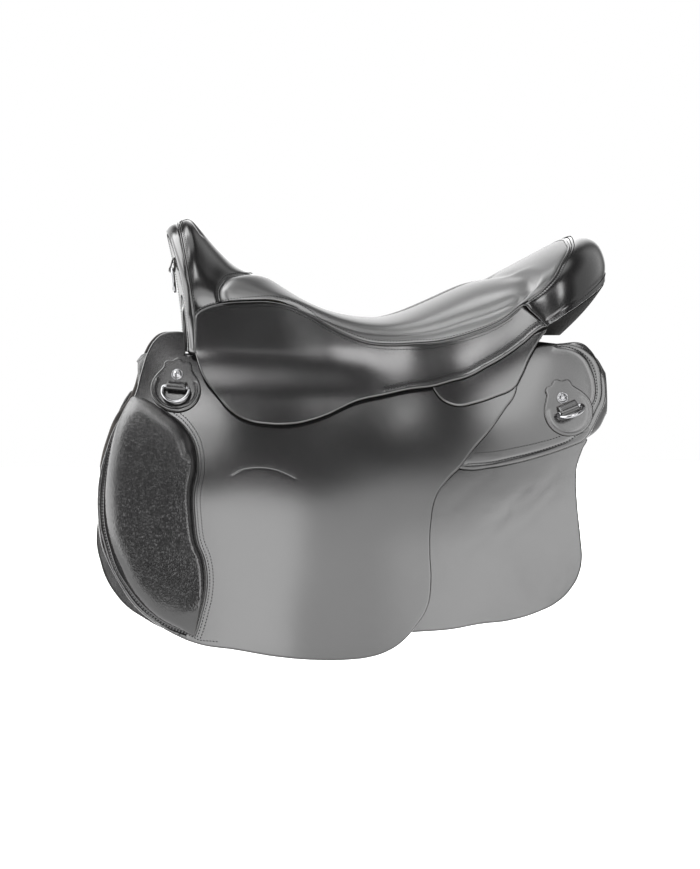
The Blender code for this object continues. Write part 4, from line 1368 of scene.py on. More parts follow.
@dataclass
class Seat:
    """Pommel, seat and cantle covers pulled over the foam, with their seams."""

    bench: Bench
    thickness: float = 2.4
    front: float = 0.9
    rear: float = 22.0
    gap: float = 0.035
    row: float = 2.6
    columns: int = 190
    foam_ends: tuple[float, float] = (2.2, 21.0)
    foam_angle: float = 78.0
    foam_inset: float = 4.4
    foam_floor: float = 21.5
    stitched_angle: float = 88.0
    stitch_height: float = 0.1
    cap_rows: tuple[float, float] = (1.1, 1.26)
    front_row: float = -0.2
    rear_rows: tuple[float, float] = (0.17, 0.33)
    border_row: float = 21.66
    side_row: float = 3.0
    side_ends: tuple[float, float] = (0.95, 21.95)
    side_stitches: tuple[float, float] = (1.3, 17.9)
    welt_drop: float = 1.2

    def _angles(self) -> tuple[Array, Array]:
        """Angles across the seat at even distances.

        Returns:
            The angles, and how far the edges there are rounded.
        """
        fine = np.linspace(-90, 90, 1801)
        line = SEAT.point(12.0, fine)
        along = run_lengths(line)
        shares, falls = graded(0, along[-1], self.columns, along[-1])
        return np.interp(shares, along, fine), falls

    def _cover(self, first: Array, last: Array, angles: Array, falls: Array) -> Solid:
        """One cover between two seams.

        Args:
            first: Station at which it starts, one an angle.
            last: Station at which it ends, one an angle.
            angles: The angles.
            falls: How far the side edges are rounded.

        Returns:
            The cover.
        """
        length = float(np.mean(last - first)) * SEAT.station_mm
        shares, ends = graded(0, 1, max(8, round(length / self.row)), length)
        u = first[None, :] + (last - first)[None, :] * shares[:, None]
        angle = np.broadcast_to(angles, u.shape)
        rows = COVERS.at(u, angle)
        return shell(rows, self.thickness, (ends, falls), SEAT.normal(u, angle))

    def build(self) -> None:
        """Makes the covers, the foam and the seams."""
        angles, falls = self._angles()
        front = COVERS.seam_at(COVERS.front_seam, angles)
        rear = COVERS.seam_at(COVERS.rear_seam, angles)
        start, end = np.full(len(angles), self.front), np.full(len(angles), self.rear)
        pommel = self._cover(start, front - self.gap, angles, falls)
        self.bench.fit("pommel_cover_leather", pommel, POMMEL_LOOK, stands_for=["pommel_cover"])
        middle = self._cover(front + self.gap, rear - self.gap, angles, falls)
        seat = self.bench.fit("seat_cover_leather", middle, SEAT_LOOK, stands_for=["seat_cover"])
        cantle = self._cover(rear + self.gap, end, angles, falls)
        self.bench.fit("cantle_cover_leather", cantle, POMMEL_LOOK, stands_for=["cantle_cover"])
        self._foam()
        self._sew()

    def _foam(self) -> None:
        """Makes the foam between the covers and the tree."""
        stations = np.linspace(*self.foam_ends, 70)
        angles = np.linspace(-self.foam_angle, self.foam_angle, 60)
        u, angle = np.meshgrid(stations, angles, indexing="ij")
        drop = 4.6 + 7.2 * ease(5.5, 7, u)
        depth = 9 + 11 * ease(2, 8, u) - 5 * ease(15, 19, u)
        outer = SEAT.point(u, angle, self.foam_inset, drop)
        inner = SEAT.point(u, angle, self.foam_floor, depth) + (0, 0, 1.4)
        number = np.arange(u.size).reshape(u.shape)
        quads = quads_of(number)
        border = np.concatenate([number[0, :-1], number[:-1, -1], number[-1, :0:-1], number[:0:-1, 0]])
        after = np.roll(border, -1)
        walls = np.stack([border, after, after + u.size, border + u.size], -1)
        points = np.vstack([outer.reshape(-1, 3), inner.reshape(-1, 3)])
        solid = Solid(points, [(quads, 0), (quads[:, ::-1] + u.size, 0), (walls, 0)])
        self.bench.fit("seat_foam_core", solid, FOAM_LOOK, stands_for=["seat_foam"])

    def _row(self, stations: Array, angles: Array) -> Solid:
        """Row of stitches over the covers through places of station and angle."""
        return SEWN.sew(COVERS.along(np.stack([stations, angles], -1), self.stitch_height))

    def _sew(self) -> None:
        """Makes the piping and the stitches of the covers."""
        angles = np.linspace(-self.stitched_angle, self.stitched_angle, 260)
        front = COVERS.seam_at(COVERS.front_seam, angles)
        rear = COVERS.seam_at(COVERS.rear_seam, angles)
        rows = [self._row(front + self.front_row, angles)]
        rows += [self._row(np.full(len(angles), place), angles) for place in self.cap_rows]
        rows += [self._row(rear + shift, angles) for shift in self.rear_rows]
        rows.append(self._row(np.full(len(angles), self.border_row), angles))
        self.bench.fit("seat_cross_stitches", joined(rows), THREAD_LOOK)
        piping = COVERS.along(np.stack([rear, angles], -1), 0.5)
        self.bench.fit("cantle_piping", tube(evenly(piping, 2.2), 1.7), PIPING_LOOK)
        pommel = COVERS.along(np.stack([front, angles], -1), 0.3)
        self.bench.fit("pommel_piping", tube(evenly(pommel, 2.2), 1.4), PIPING_LOOK)
        for side in Side:
            self._side_seam(side)

    def _side_seam(self, side: Side) -> None:
        """Makes the welt and the stitches where the covers meet a skirt.

        Args:
            side: The saddle's side.
        """
        u = np.linspace(*self.side_ends, 460)
        edge = SEAT.point(u, np.full(u.shape, 90.0 * side.value))
        edge[:, 2] -= self.welt_drop
        out = np.broadcast_to(np.array([0, side.value, 0.35]), edge.shape)
        welt = np.hstack([edge + out * 0.2, unit(out)])
        self.bench.fit(f"seat_welt_{side.word}", tube(evenly(welt, 2.4), 1.15), PIPING_LOOK)
        first, last = self.side_stitches
        u = u[(u > first) & (u < last)]
        angle = np.degrees(np.arccos(np.clip(self.side_row / SEAT.rise(u), 0, 1))) * side.value
        self.bench.fit(f"seat_edge_stitches_{side.word}", self._row(u, angle), THREAD_LOOK)


@dataclass
class PommelFront:
    """Facing that turns in over the front of the pommel and ends at the arch over the withers."""

    bench: Bench
    foot_z: float = 70.0
    top_z: float = 124.0
    half: float = 60.0
    leg: float = 0.3
    foot_x: float = -196.0
    lean: float = 0.0011
    thickness: float = 2.8
    turned_rows: int = 11
    face_rows: int = 22
    sewn_rows: tuple[int, int] = (11, 28)

    def front_x(self, z: Array) -> Array:
        """Where the front face stands at heights z."""
        return self.foot_x - self.lean * (z - self.foot_z) ** 2

    def _outer(self, a: Array) -> Array:
        """Outer line: -1 to 1 over the head, past that down each leg.

        Args:
            a: Places along it.

        Returns:
            Its points.
        """
        head = SEAT.point(0.9, np.clip(a, -1, 1) * 90)
        z = head[:, 2] + (self.foot_z - head[:, 2]) * np.clip((np.abs(a) - 1) / self.leg, 0, 1)
        half = FORM.half(head[:, 0], z) + SEAT.skirt.standoff(head[:, 0], z) + SEAT.skirt_thickness
        y = np.where(np.abs(a) > 1, np.sign(a) * half, head[:, 1])
        return np.stack([head[:, 0], y, z], -1)

    def build(self) -> None:
        """Makes the facing and its stitches."""
        a = np.linspace(-1 - self.leg, 1 + self.leg, 190)
        seam = self._outer(a)
        turn = np.radians(90 * a / (1 + self.leg))
        y = self.half * np.sign(a) * np.abs(np.sin(turn)) ** 0.9
        z = self.foot_z + (self.top_z - self.foot_z) * np.maximum(np.cos(turn), 0) ** 0.8
        inner = np.stack([self.front_x(z) + 1, y, z], -1)
        turned = seam + (inner - seam) * 0.10
        turned[:, 0] = self.front_x(turned[:, 2])
        start = seam - (0.8, 0, 0)
        corner_x = np.maximum(self.front_x(seam[:, 2]) + 5, turned[:, 0] + 4)
        corner_x = np.minimum(corner_x, start[:, 0] - 3)
        corner = np.stack([corner_x, seam[:, 1], seam[:, 2] - 1.0], -1)
        columns = []
        for t in np.linspace(0, 1, self.turned_rows):
            columns.append(start * (1 - t) ** 2 + 2 * corner * t * (1 - t) + turned * t * t)
        for t in np.linspace(0, 1, self.face_rows)[1:]:
            point = turned + (inner - turned) * t
            point[:, 0] = self.front_x(point[:, 2]) + ease(0.8, 1.0, t)
            columns.append(point)
        rows = np.stack(columns, 1)
        falls = (end_falls(len(a), 0.1), end_falls(rows.shape[1], 0.12))
        facing = shell(rows, self.thickness, falls, np.array([-1, 0, 0.3]))
        self.bench.fit("pommel_facing_leather", facing, POMMEL_LOOK, stands_for=["pommel_facing"])
        sewn = []
        normal = unit(np.cross(np.gradient(rows, axis=0), np.gradient(rows, axis=1)))
        if (normal * (-1, 0, 0.3)).sum(-1).mean() < 0:
            normal = -normal
        for column in self.sewn_rows:
            sewn.append(SEWN.sew(np.hstack([rows[3:-3, column], normal[3:-3, column]])))
        self.bench.fit("pommel_facing_stitches", joined(sewn), THREAD_LOOK)
        path = np.hstack([rows[:, -1], normal[:, -1]])
        self.bench.fit("arch_piping", tube(evenly(path, 2.2), 1.6), PIPING_LOOK)
        seam_path = np.hstack([start - (0.3, 0, 0), unit(seam - seam.mean(0))])
        self.bench.fit("pommel_front_piping", tube(evenly(seam_path, 2.2), 0.7), PIPING_LOOK)


@dataclass
class Underside:
    """Leather under the cantle, and the lining of the gullet channel."""

    bench: Bench
    seam_x: float = 188.0
    reach: float = 57.0
    low_z: float = 91.0
    lining_ends: tuple[float, float] = (-158.0, 236.0)
    lining_half: float = 24.0
    lining_z: float = 58.0

    def build(self) -> None:
        """Makes both leathers."""
        angles, falls = graded(-90, 90, 110, 300)
        shares, ends = graded(0.02, 1, 20, 60)
        share, angle = np.meshgrid(shares, angles, indexing="ij")
        phi = np.radians(angle)
        top = SEAT.point(22.0, angle, 2 + 10 * share)
        low_half = float(FORM.half(self.seam_x, self.low_z)) + 15.0
        low = np.stack([
            self.seam_x + self.reach * np.maximum(np.cos(phi), 0) ** 0.8,
            low_half * np.sign(phi) * np.abs(np.sin(phi)) ** 0.9,
            self.low_z - np.cos(phi),
        ], -1)
        rows = top + (low - top) * share[..., None]
        rows[..., 0] += 5 * np.sin(np.pi * share) * np.maximum(np.cos(phi), 0)
        rows[..., 2] -= 1.2
        back = shell(rows, 2.8, (ends, falls), np.array([1.0, 0, 0]))
        # The leather under the cantle wears the darker flesh finish, whose colour is painted shade.
        self.bench.fit("cantle_back_leather", back, PAINTED_SHADE_BACK_LOOK, stands_for=["cantle_back"])
        along, falls_x = graded(*self.lining_ends, 90, 394)
        across, falls_y = graded(-self.lining_half, self.lining_half, 14, 48)
        x, y = np.meshgrid(along, across, indexing="ij")
        z = self.lining_z + 20 * ((x - 40) / 200) ** 2 - 5 * (y / self.lining_half) ** 2 + 1.6
        wave = Swell(0.5, 60, 3).at(x, y)
        lining = shell(np.stack([x, y, z + wave], -1), 1.6, (falls_x, falls_y), np.array([0, 0, 1.0]), (1, 0))
        self.bench.fit("channel_lining_leather", lining, SWEAT_LOOK, stands_for=["channel_lining"])


@dataclass(frozen=True)
class FoldLine:
    """Line that a leather bends along, by two points at x, half breadth and z."""

    first: tuple[float, float, float]
    last: tuple[float, float, float]

    def bend(self, body: str, side: Side, before: float, past: float) -> Bend:
        """Bend across the line.

        Args:
            body: The moving body.
            side: The saddle's side.
            before: How far above the line the bending starts.
            past: How far below the line it ends.

        Returns:
            The bend.
        """
        flip = np.array([1, side.value, 1])
        first, last = np.array(self.first) * flip, np.array(self.last) * flip
        middle, run = (first + last) / 2, unit(last - first)
        down = np.array([0, side.value * 0.3, -1.0])
        down = unit(down - run * (down @ run))
        return Bend(body, middle - down * before, middle + down * past)


@dataclass(frozen=True)
class Ply:
    """How one leather of the side lies off the form. Its rise is added over the stirrup bar."""

    off: float
    thickness: float
    grid: float = 5.0
    rise: float = 0.0
    swell: Optional[Swell] = None


@dataclass
class Flaps:
    """Leathers down one side: sweat flap, rear facing, flap, knee roll, skirt, jockey and girth straps."""

    bench: Bench
    side: Side
    fold: FoldLine = FoldLine((-270, 124.8, -5), (140, 168.5, -30))
    bending: tuple[float, float] = (6.0, 26.0)
    sweat_ply: Ply = Ply(0.0, 3.0, swell=Swell(0.7, 110, 11))
    facing_ply: Ply = Ply(3.9, 3.0, 4.5, swell=Swell(0.5, 80, 21))
    billet_ply: Ply = Ply(4.4, 3.6, 4.0)
    flap_ply: Ply = Ply(10.2, 3.4, swell=Swell(0.9, 120, 31))
    roll_ply: Ply = Ply(13.7, 2.2, 2.6, swell=Swell(0.15, 40, 41))
    jockey_ply: Ply = Ply(15.0, 2.8, 4.0)
    skirt_ply: Ply = Ply(18.9, 3.2, 4.5, 7.4, Swell(0.5, 100, 51))
    roll_head: int = 10
    roll_piped: int = 16
    roll_rows: tuple[float, float] = (4.0, 7.8)
    roll_edge: float = 1.1
    roll_height: float = 17.5
    roll_profile: tuple[float, float, float] = (0.94, 0.06, 0.32)
    skirt_row: float = 4.6
    skirt_way: tuple[float, float, float] = (-0.092, 0.982, 0.163)
    skirt_bending: tuple[float, float] = (122.0, 147.0)
    billet_half: float = 13.0
    billets: tuple = (("front", -122.0), ("rear", -8.0))
    sweat: ClassVar[tuple] = (
        (-247, 36), (-251, 10), (-269, -20), (-284, -60), (-296, -98), (-301, -130), (-301, -142),
        (-297, -160), (-291, -178), (-280, -196), (-267, -210), (-252, -220), (-230, -232), (-200, -241),
        (-150, -246), (-90, -247), (-20, -243), (48, -239), (88, -237), (122, -232), (156, -229),
        (191, -220), (214, -209), (229, -195), (238, -180), (242, -163), (241, -141), (238, -100),
        (238, -74), (240, -58), (247, -40), (252, -27), (226, -24), (170, -16), (110, 14), (60, 48), (0, 56),
        (-100, 58), (-160, 56), (-215, 50),
    )
    facing: ClassVar[tuple] = (
        (228, 80), (250, 80), (258, 74), (266, 62), (273, 44), (275, 28), (273, 12), (267, 0), (258, -17),
        (248, -30), (237, -35), (214, -43), (193, -49), (173, -54), (139, -60), (113, -62), (101, -58),
        (104, -20), (122, 30), (150, 56), (190, 74),
    )
    flap_front: ClassVar[tuple] = (
        (-281, -16), (-289, -37), (-297, -65), (-300, -92), (-299, -117), (-295, -143), (-287, -163),
        (-275, -185), (-263, -203), (-250, -216), (-235, -227), (-218, -237), (-190, -248), (-151, -254),
        (-104, -262), (-58, -266), (-27, -266), (-6, -264), (15, -258), (33, -247), (47, -232),
    )
    flap_rear: ClassVar[tuple] = (
        (61, -211), (66, -185), (66, -150), (68, -121), (76, -90), (90, -72), (106, -57), (119, -41),
        (143, -15), (161, 9), (170, 21), (173, 34), (168, 44), (120, 54), (0, 56), (-60, 56), (-150, 56),
        (-172, 65), (-199.5, 66, True), (-199.5, 92, True), (-210, 93), (-224, 91), (-233, 84), (-241, 72),
        (-249, 50), (-258, 20),
    )
    arc: ClassVar[tuple] = (
        (-150, -66), (-143, -62), (-135, -60), (-118, -59), (-104, -61), (-93, -65), (-83, -70),
    )
    groove: ClassVar[tuple] = (
        (-270, 2), (-282, -27), (-290, -58), (-294, -92), (-293, -119), (-287, -145), (-279, -168),
        (-267, -188), (-254, -205), (-240, -218), (-223, -229), (-204, -236), (-196, -240), (-190, -243),
        (-179, -244), (-169, -245),
    )
    roll_front: ClassVar[tuple] = (
        (-264, 15), (-272, 1), (-280, -18), (-286, -44), (-290, -71), (-291, -98), (-288, -125),
        (-282, -147), (-273, -168), (-264, -186), (-252, -202), (-238, -216), (-222, -226), (-205, -234),
        (-196, -239, True),
    )
    roll_seam: ClassVar[tuple] = (
        (-196, -239, True), (-193, -232), (-188, -215), (-183, -195), (-181.5, -175), (-184, -156),
        (-190.5, -138), (-193.5, -113), (-194, -86), (-189, -60), (-190, -40), (-193, -29), (-200, -17),
        (-208, -8), (-219, 0), (-230, 8), (-241, 15), (-252, 19), (-259, 20), (-264, 15),
    )
    skirt_top: ClassVar[tuple] = (
        (-188.5, 115, True), (-177, 121), (-156, 126), (-135, 128), (-115, 129), (-95, 128), (-75, 122),
        (-55, 112), (-35, 100), (-15, 90), (6, 82.5), (28, 80), (48, 80), (68, 80.5), (90, 83), (112, 88),
        (132, 94), (153, 103), (172, 115), (183, 125, True),
    )
    skirt_rear: ClassVar[tuple] = (
        (208, 99.5, True), (198, 94), (181, 80), (160, 65), (139, 53), (118, 42), (96, 36), (77, 31),
        (52, 28),
    )
    skirt_front: ClassVar[tuple] = (
        (23, 22), (-9, 15), (-28, 7), (-41, 1), (-62, -6), (-82, -10), (-113, -10), (-133, -6), (-152, 5),
        (-167, 23), (-180, 41), (-186, 57), (-189.5, 70, True),
    )
    wrinkles: ClassVar[tuple] = (
        (112, -150), (128, -128), (150, -142), (170, -106), (188, -150), (96, -100),
    )
    ridges: ClassVar[tuple] = (
        ((220, 74), (238, 71), (250, 63), (257, 50), (261, 34), (260, 18), (253, 5), (247, -6)),
        ((220, 79), (242, 76), (256, 68), (265, 56), (268, 36), (267, 18), (260, 3), (253, -11)),
    )
    lower_row: ClassVar[tuple] = (
        (113, -56), (139, -54), (164, -49), (190, -43), (214, -36), (234, -28), (244, -20),
    )
    upper_row: ClassVar[tuple] = ((122, -44), (147, -42), (174, -37), (197, -32), (224, -24), (234, -19))
    jockey: ClassVar[tuple] = (
        (210, 97, True), (190, 68), (178, 44), (169, 30), (148, 20), (119, 11), (107, 9), (97, 11), (89, 15),
        (82, 23), (77, 34), (76, 50), (90, 68, True), (130, 72), (170, 82),
    )

    def _bend(self) -> Bend:
        """Bend that the flap and its knee roll have in common."""
        return self.fold.bend(f"flap_{self.side.word}", self.side, *self.bending)

    def _layer(self, ply: Ply) -> Layer:
        """Surface that a leather of the side rests on."""
        return Layer(self.side, ply.off, ply.rise)

    def _cut(self, ply: Ply, knots: Knots, **more: object) -> Solid:
        """Cuts one leather of the side from its outline's knots."""
        outline, sizes = curve_through(knots, closed=True), (ply.thickness, ply.grid)
        return LeatherCut(self._layer(ply), outline, *sizes, swell=ply.swell, **more).build()

    def _rows(self, ply: Ply, proud: float, *paths: Array) -> Solid:
        """Stitches along flat paths, lying so far proud of a leather of the side."""
        height = ply.thickness + proud
        return joined([SEWN.sew(self._layer(ply).along(path, height)) for path in paths])

    def build(self) -> None:
        """Makes the leathers of the side."""
        self._sweat_flap()
        self._rear_facing()
        self._flap()
        self._knee_roll()
        self._skirt()
        self._rear_jockey()
        for place, x in self.billets:
            self._billet(place, x)

    def _sweat_flap(self) -> None:
        """Makes the leather that lies against the horse, with the wrinkles behind the flap."""
        creases = []
        for k, (x, z) in enumerate(self.wrinkles):
            reach = 46 + 9 * (k % 3)
            line = [(x, z), (x + reach * 0.5, z + reach * 0.36), (x + reach, z + reach * 0.86)]
            creases.append(Crease(curve_through(line), 0.12, 4.6 + 0.8 * (k % 2)))
        solid = self._cut(self.sweat_ply, self.sweat, creases=creases)
        name = f"sweat_flap_{self.side.word}"
        self.bench.fit(f"{name}_leather", solid, SWEAT_LOOK, stands_for=[name])

    def _rear_facing(self) -> None:
        """Makes the facing under the cantle, with its raised border and its two rows of stitches."""
        lower = curve_through(self.lower_row)
        creases = [Crease(curve_through(line), -0.55, 1.8) for line in self.ridges]
        creases.append(Crease(lower, 0.4, 1.5))
        solid = self._cut(self.facing_ply, self.facing, creases=creases)
        name = f"rear_facing_{self.side.word}"
        self.bench.fit(f"{name}_leather", solid, LEATHER_LOOK, stands_for=[name])
        between = [((a[0] + b[0]) / 2, (a[1] + b[1]) / 2) for a, b in zip(*self.ridges)]
        paths = [curve_through(self.upper_row), lower, curve_through(between)]
        self.bench.fit(f"{name}_stitches", self._rows(self.facing_ply, 0.1, *paths), THREAD_LOOK)
        edge = curve_through([(x, z + 1.4) for x, z in self.facing[8:17]])
        path = self._layer(self.facing_ply).along(edge, 0.6)
        self.bench.fit(f"{name}_piping", tube(evenly(path, 2.4), 1.6), PIPING_LOOK)

    def _flap(self) -> None:
        """Makes the flap, one leather from the tree to its lower edge, and its stitches."""
        arc = curve_through(self.arc)
        pressed = curve_through(self.groove[:-4])
        edge = beside(pressed, -3.6)
        creases = [Crease(arc, 0.1, 0.6), Crease(pressed, 0.8, 1.3), Crease(edge, -0.6, 1.4)]
        solid = self._cut(self.flap_ply, (*self.flap_front, *self.flap_rear), creases=creases)
        name = f"flap_{self.side.word}"
        bend = self._bend()
        self.bench.fit(f"{name}_leather", solid, LEATHER_LOOK, bend, [name, f"flap_head_{self.side.word}"])
        line = tube(evenly(self._layer(self.flap_ply).along(arc, 3.2), 2.0), 0.42)
        self.bench.fit(f"{name}_tooled_arc", line, THREAD_LOOK, bend)
        rows = self._rows(self.flap_ply, -0.1, curve_through(self.groove))
        self.bench.fit(f"{name}_stitches", rows, THREAD_LOOK, bend)

    def _roll_shape(self, points: Array) -> Array:
        """Height of the knee roll: steep at its front edge, then rising evenly to the seam behind.

        Args:
            points: Flat places inside its outline.

        Returns:
            One height a place.
        """
        front = path_distance(points, curve_through(self.roll_front))
        rear = path_distance(points, curve_through(self.roll_seam[: self.roll_head + 1]))
        head = path_distance(points, curve_through(self.roll_seam[self.roll_head :]))
        share = front / np.maximum(front + rear, 1e-6)
        crest, brow, steep = self.roll_profile
        rising = steep * (1 - np.exp(-share / brow)) + (1 - steep) * np.clip(share / crest, 0, 1)
        falling = (1 - np.clip((share - crest) / (1 - crest), 0, 1) ** 2.2) ** 0.75
        full = np.sqrt(np.clip(1 - (1 - np.clip(head / 20, 0, 1)) ** 2, 0, 1))
        narrow = ease(0, 34, front + rear) ** 0.55
        return self.roll_height * rising * falling * full * narrow

    def _knee_roll(self) -> None:
        """Makes the stuffed knee roll, its piping and the stitches behind it."""
        bend = self._bend()
        knots = (*self.roll_front[:-1], *self.roll_seam[:-1])
        solid = self._cut(self.roll_ply, knots, edge=self.roll_edge, lift=self._roll_shape)
        name = f"knee_roll_{self.side.word}"
        roll = self.bench.fit(f"{name}_pad", solid, ROLL_LOOK, bend, [name])
        seam = curve_through(self.roll_seam[: self.roll_piped])
        piping = tube(evenly(self._layer(self.roll_ply).along(seam, 1.2), 2.2), 1.5)
        self.bench.fit(f"{name}_piping", piping, PIPING_LOOK, bend)
        rows = self._rows(self.flap_ply, 0.1, *(beside(seam, -shift) for shift in self.roll_rows))
        self.bench.fit(f"{name}_stitches", rows, THREAD_LOOK, bend)

    def _skirt(self) -> None:
        """Makes the skirt over the stirrup bar and its stitches."""
        top = [(x, z - 2.4, *corner) for x, z, *corner in self.skirt_top]
        knots = (*top, *self.skirt_rear, *self.skirt_front)
        rear = curve_through((*self.skirt_rear, self.skirt_front[0]))
        inner = beside(rear, self.skirt_row)
        if not inside(inner[10:11], curve_through(knots, closed=True))[0]:
            inner = beside(rear, -self.skirt_row)
        solid = self._cut(self.skirt_ply, knots, creases=[Crease(inner, 0.15, 1.6)])
        name = f"skirt_{self.side.word}"
        way = np.array(self.skirt_way) * (1, self.side.value, 1)
        bend = Bend(name, way * self.skirt_bending[0], way * self.skirt_bending[1])
        self.bench.fit(f"{name}_leather", solid, LEATHER_LOOK, bend, [name])
        outer = inner + (inner - rear) * 0.85
        seam = curve_through([(x, z - 5.4) for x, z, *_ in top[1:-1]])
        rows = self._rows(self.skirt_ply, 0.1, inner, outer, seam)
        self.bench.fit(f"{name}_stitches", rows, THREAD_LOOK, bend)

    def _rear_jockey(self) -> None:
        """Makes the tab behind the skirt."""
        solid = self._cut(self.jockey_ply, self.jockey)
        name = f"rear_jockey_{self.side.word}"
        self.bench.fit(f"{name}_leather", solid, LEATHER_LOOK, stands_for=[name])

    def _billet(self, place: str, x: float) -> None:
        """Makes one girth strap with its row of buckle holes.

        Args:
            place: Front or rear, for its name.
            x: Where its middle lies.
        """
        half = self.billet_half
        knots = (
            (x - half, 52, True), (x - half, -176, True), (x - 7, -188), (x, -193), (x + 7, -188),
            (x + half, -176, True), (x + half, 52, True),
        )
        heights = np.arange(-166, -10, 25.0)
        holes = [Crease(np.array([(x - 0.1, z), (x + 0.1, z)]), 2.8, 1.9) for z in heights]
        edges = [Crease(np.array([(x + s, 40.0), (x + s, -172.0)]), 0.4, 0.9) for s in (-9.5, 9.5)]
        name = f"billet_{place}_{self.side.word}"
        solid = self._cut(self.billet_ply, knots, creases=[*holes, *edges])
        self.bench.fit(f"{name}_strap", solid, LEATHER_LOOK, name, [name])


@dataclass
class Panel:
    """Flocked panel under one side: a boxed cushion from the pommel's arch to below the cantle."""

    bench: Bench
    side: Side
    rings: int = 110
    sides: int = 56
    span: float = 50.0
    clear: float = 5.5
    tufting: float = 0.6
    piping: float = 1.6
    rounding: ClassVar[tuple] = (0.3, 0.7, 0.9)
    stations: ClassVar[tuple] = (
        (-252, 42, 26, 14), (-244, 40, 38, 24), (-222, 34, 48, 31), (-180, 26, 54, 34), (-120, 24, 58, 35),
        (-60, 22, 60, 36), (0, 20, 60, 36), (60, 20, 60, 36), (120, 22, 62, 37), (180, 26, 64, 38),
        (222, 26, 60, 38), (252, 26, 54, 34), (270, 26, 42, 26), (279, 26, 24, 14),
    )

    def _ring(self, place: float, shrink: float) -> Array:
        """One ring of the panel.

        Args:
            place: Place along the stations, counted in stations.
            shrink: Share of its size, less than 1 at the rounded ends.

        Returns:
            The ring's points.
        """
        x, middle_z, half, thick = between_stations(self.stations, np.array([place]))[0]
        low, breadth, high = (float(FORM.half(x, middle_z + step)) for step in (-self.span, 0, self.span))
        slope = math.atan2(low - high, 2 * self.span)
        down = np.array([0, math.sin(slope), -math.cos(slope)])
        inward = np.array([0, -math.cos(slope), -math.sin(slope)])
        middle = np.array([x, breadth, middle_z]) + inward * (thick / 2 + self.clear)
        turn = np.arange(self.sides) * math.tau / self.sides
        run = signed_power(np.cos(turn), 0.7) * half * shrink
        deep = signed_power(np.sin(turn), 0.8) * thick / 2 * shrink
        wide = 0.8 * np.sin(x / 17.0 + 2.1 * np.sin(turn)) * np.sin(turn) ** 2
        tuft = wide + 0.5 * np.sin(x / 9.0 + 3 * turn)
        points = middle + down * run[:, None] + inward * (deep - self.tufting * np.abs(tuft))[:, None]
        return points * (1, self.side.value, 1)

    def build(self) -> None:
        """Makes the panel and the piping round its rim."""
        places = np.linspace(0, len(self.stations) - 1, self.rings)
        rings = [self._ring(0, share) for share in self.rounding]
        rings += [self._ring(place, 1.0) for place in places]
        rings += [self._ring(places[-1], share) for share in self.rounding[::-1]]
        name = f"panel_{self.side.word}"
        panel = self.bench.fit(f"{name}_flocked", ring_loft(np.stack(rings)), PANEL_LOOK, stands_for=[name])
        full = np.stack(rings[len(self.rounding) : -len(self.rounding)])
        corner = self.sides // 16
        paths = []
        for k in (corner, self.sides // 2 - corner):
            out = unit(full[:, k] - full.mean(1))
            paths.append(tube(evenly(np.hstack([full[:, k], out]), 2.6), self.piping))
        self.bench.fit(f"{name}_piping", joined(paths), PIPING_LOOK)


@dataclass(frozen=True)
class Ring:
    """Steel D ring and the leather chape that holds its bar."""

    half_width: float = 15.0
    drop: float = 18.5
    wire: float = 2.1
    chape_width: float = 22.0
    tail: float = 8.5
    folded: float = 2.8
    corner: ClassVar[tuple] = ((0.1, -1.6), (0.8, -0.5))

    def _corner(self, end: int) -> Array:
        """Points that round the corner between the bow and the bar, at the end given by its sign."""
        return np.array([[end * (self.half_width - inset), up, 0] for inset, up in self.corner])

    def solid(self, origin: Array, axes: Array, raised: float) -> Solid:
        """The ring.

        Args:
            origin: Middle of its bar.
            axes: Axes along the bar, up and out, as rows.
            raised: Degrees that it is swung out.

        Returns:
            Its solid.
        """
        turn = np.radians(np.linspace(180, 360, 61))
        arc = np.stack([np.cos(turn) * self.half_width, np.sin(turn) * (self.drop - 4) - 4, 0 * turn], -1)
        end = self.half_width - 2.5
        bar = np.linspace((end, 0, 0), (-end, 0, 0), 20)
        loop = np.vstack([arc, self._corner(1), bar, self._corner(-1)[::-1]])
        angle = math.radians(-raised)
        sine, cosine = math.sin(angle), math.cos(angle)
        swung = loop @ np.array([[1, 0, 0], [0, cosine, sine], [0, -sine, cosine]])
        out = np.array([0, -sine, cosine]) @ axes
        path = np.hstack([origin + swung @ axes, np.broadcast_to(out, loop.shape)])
        return tube(evenly(path, 1.1, True), self.wire, 16, True)

    def chape(self, origin: Array, axes: Array) -> Solid:
        """The leather folded round the ring's bar.

        Args:
            origin: Middle of the bar.
            axes: Axes along the bar, up and out, as rows.

        Returns:
            Its solid.
        """
        radius = self.wire + 2.2
        turn = np.radians(np.linspace(50, -180, 30))
        loop = np.stack([np.sin(turn) * radius, np.cos(turn) * radius], -1)
        tail = self.tail
        path = np.vstack([(tail, -2.2), (tail * 0.75, 0.6), *loop, (tail * 0.6, -4.4), (tail, -4.5)])
        across, falls = graded(-self.chape_width / 2, self.chape_width / 2, 12, self.chape_width)
        line = evenly(path, 0.8, measured=2)
        points = np.array([[origin + np.array([x, up, out]) @ axes for x in across] for up, out in line])
        centre = origin + np.array([0, 1.0, -1.0]) @ axes
        return shell(points, 2.0, (end_falls(len(line)), falls), points - centre)


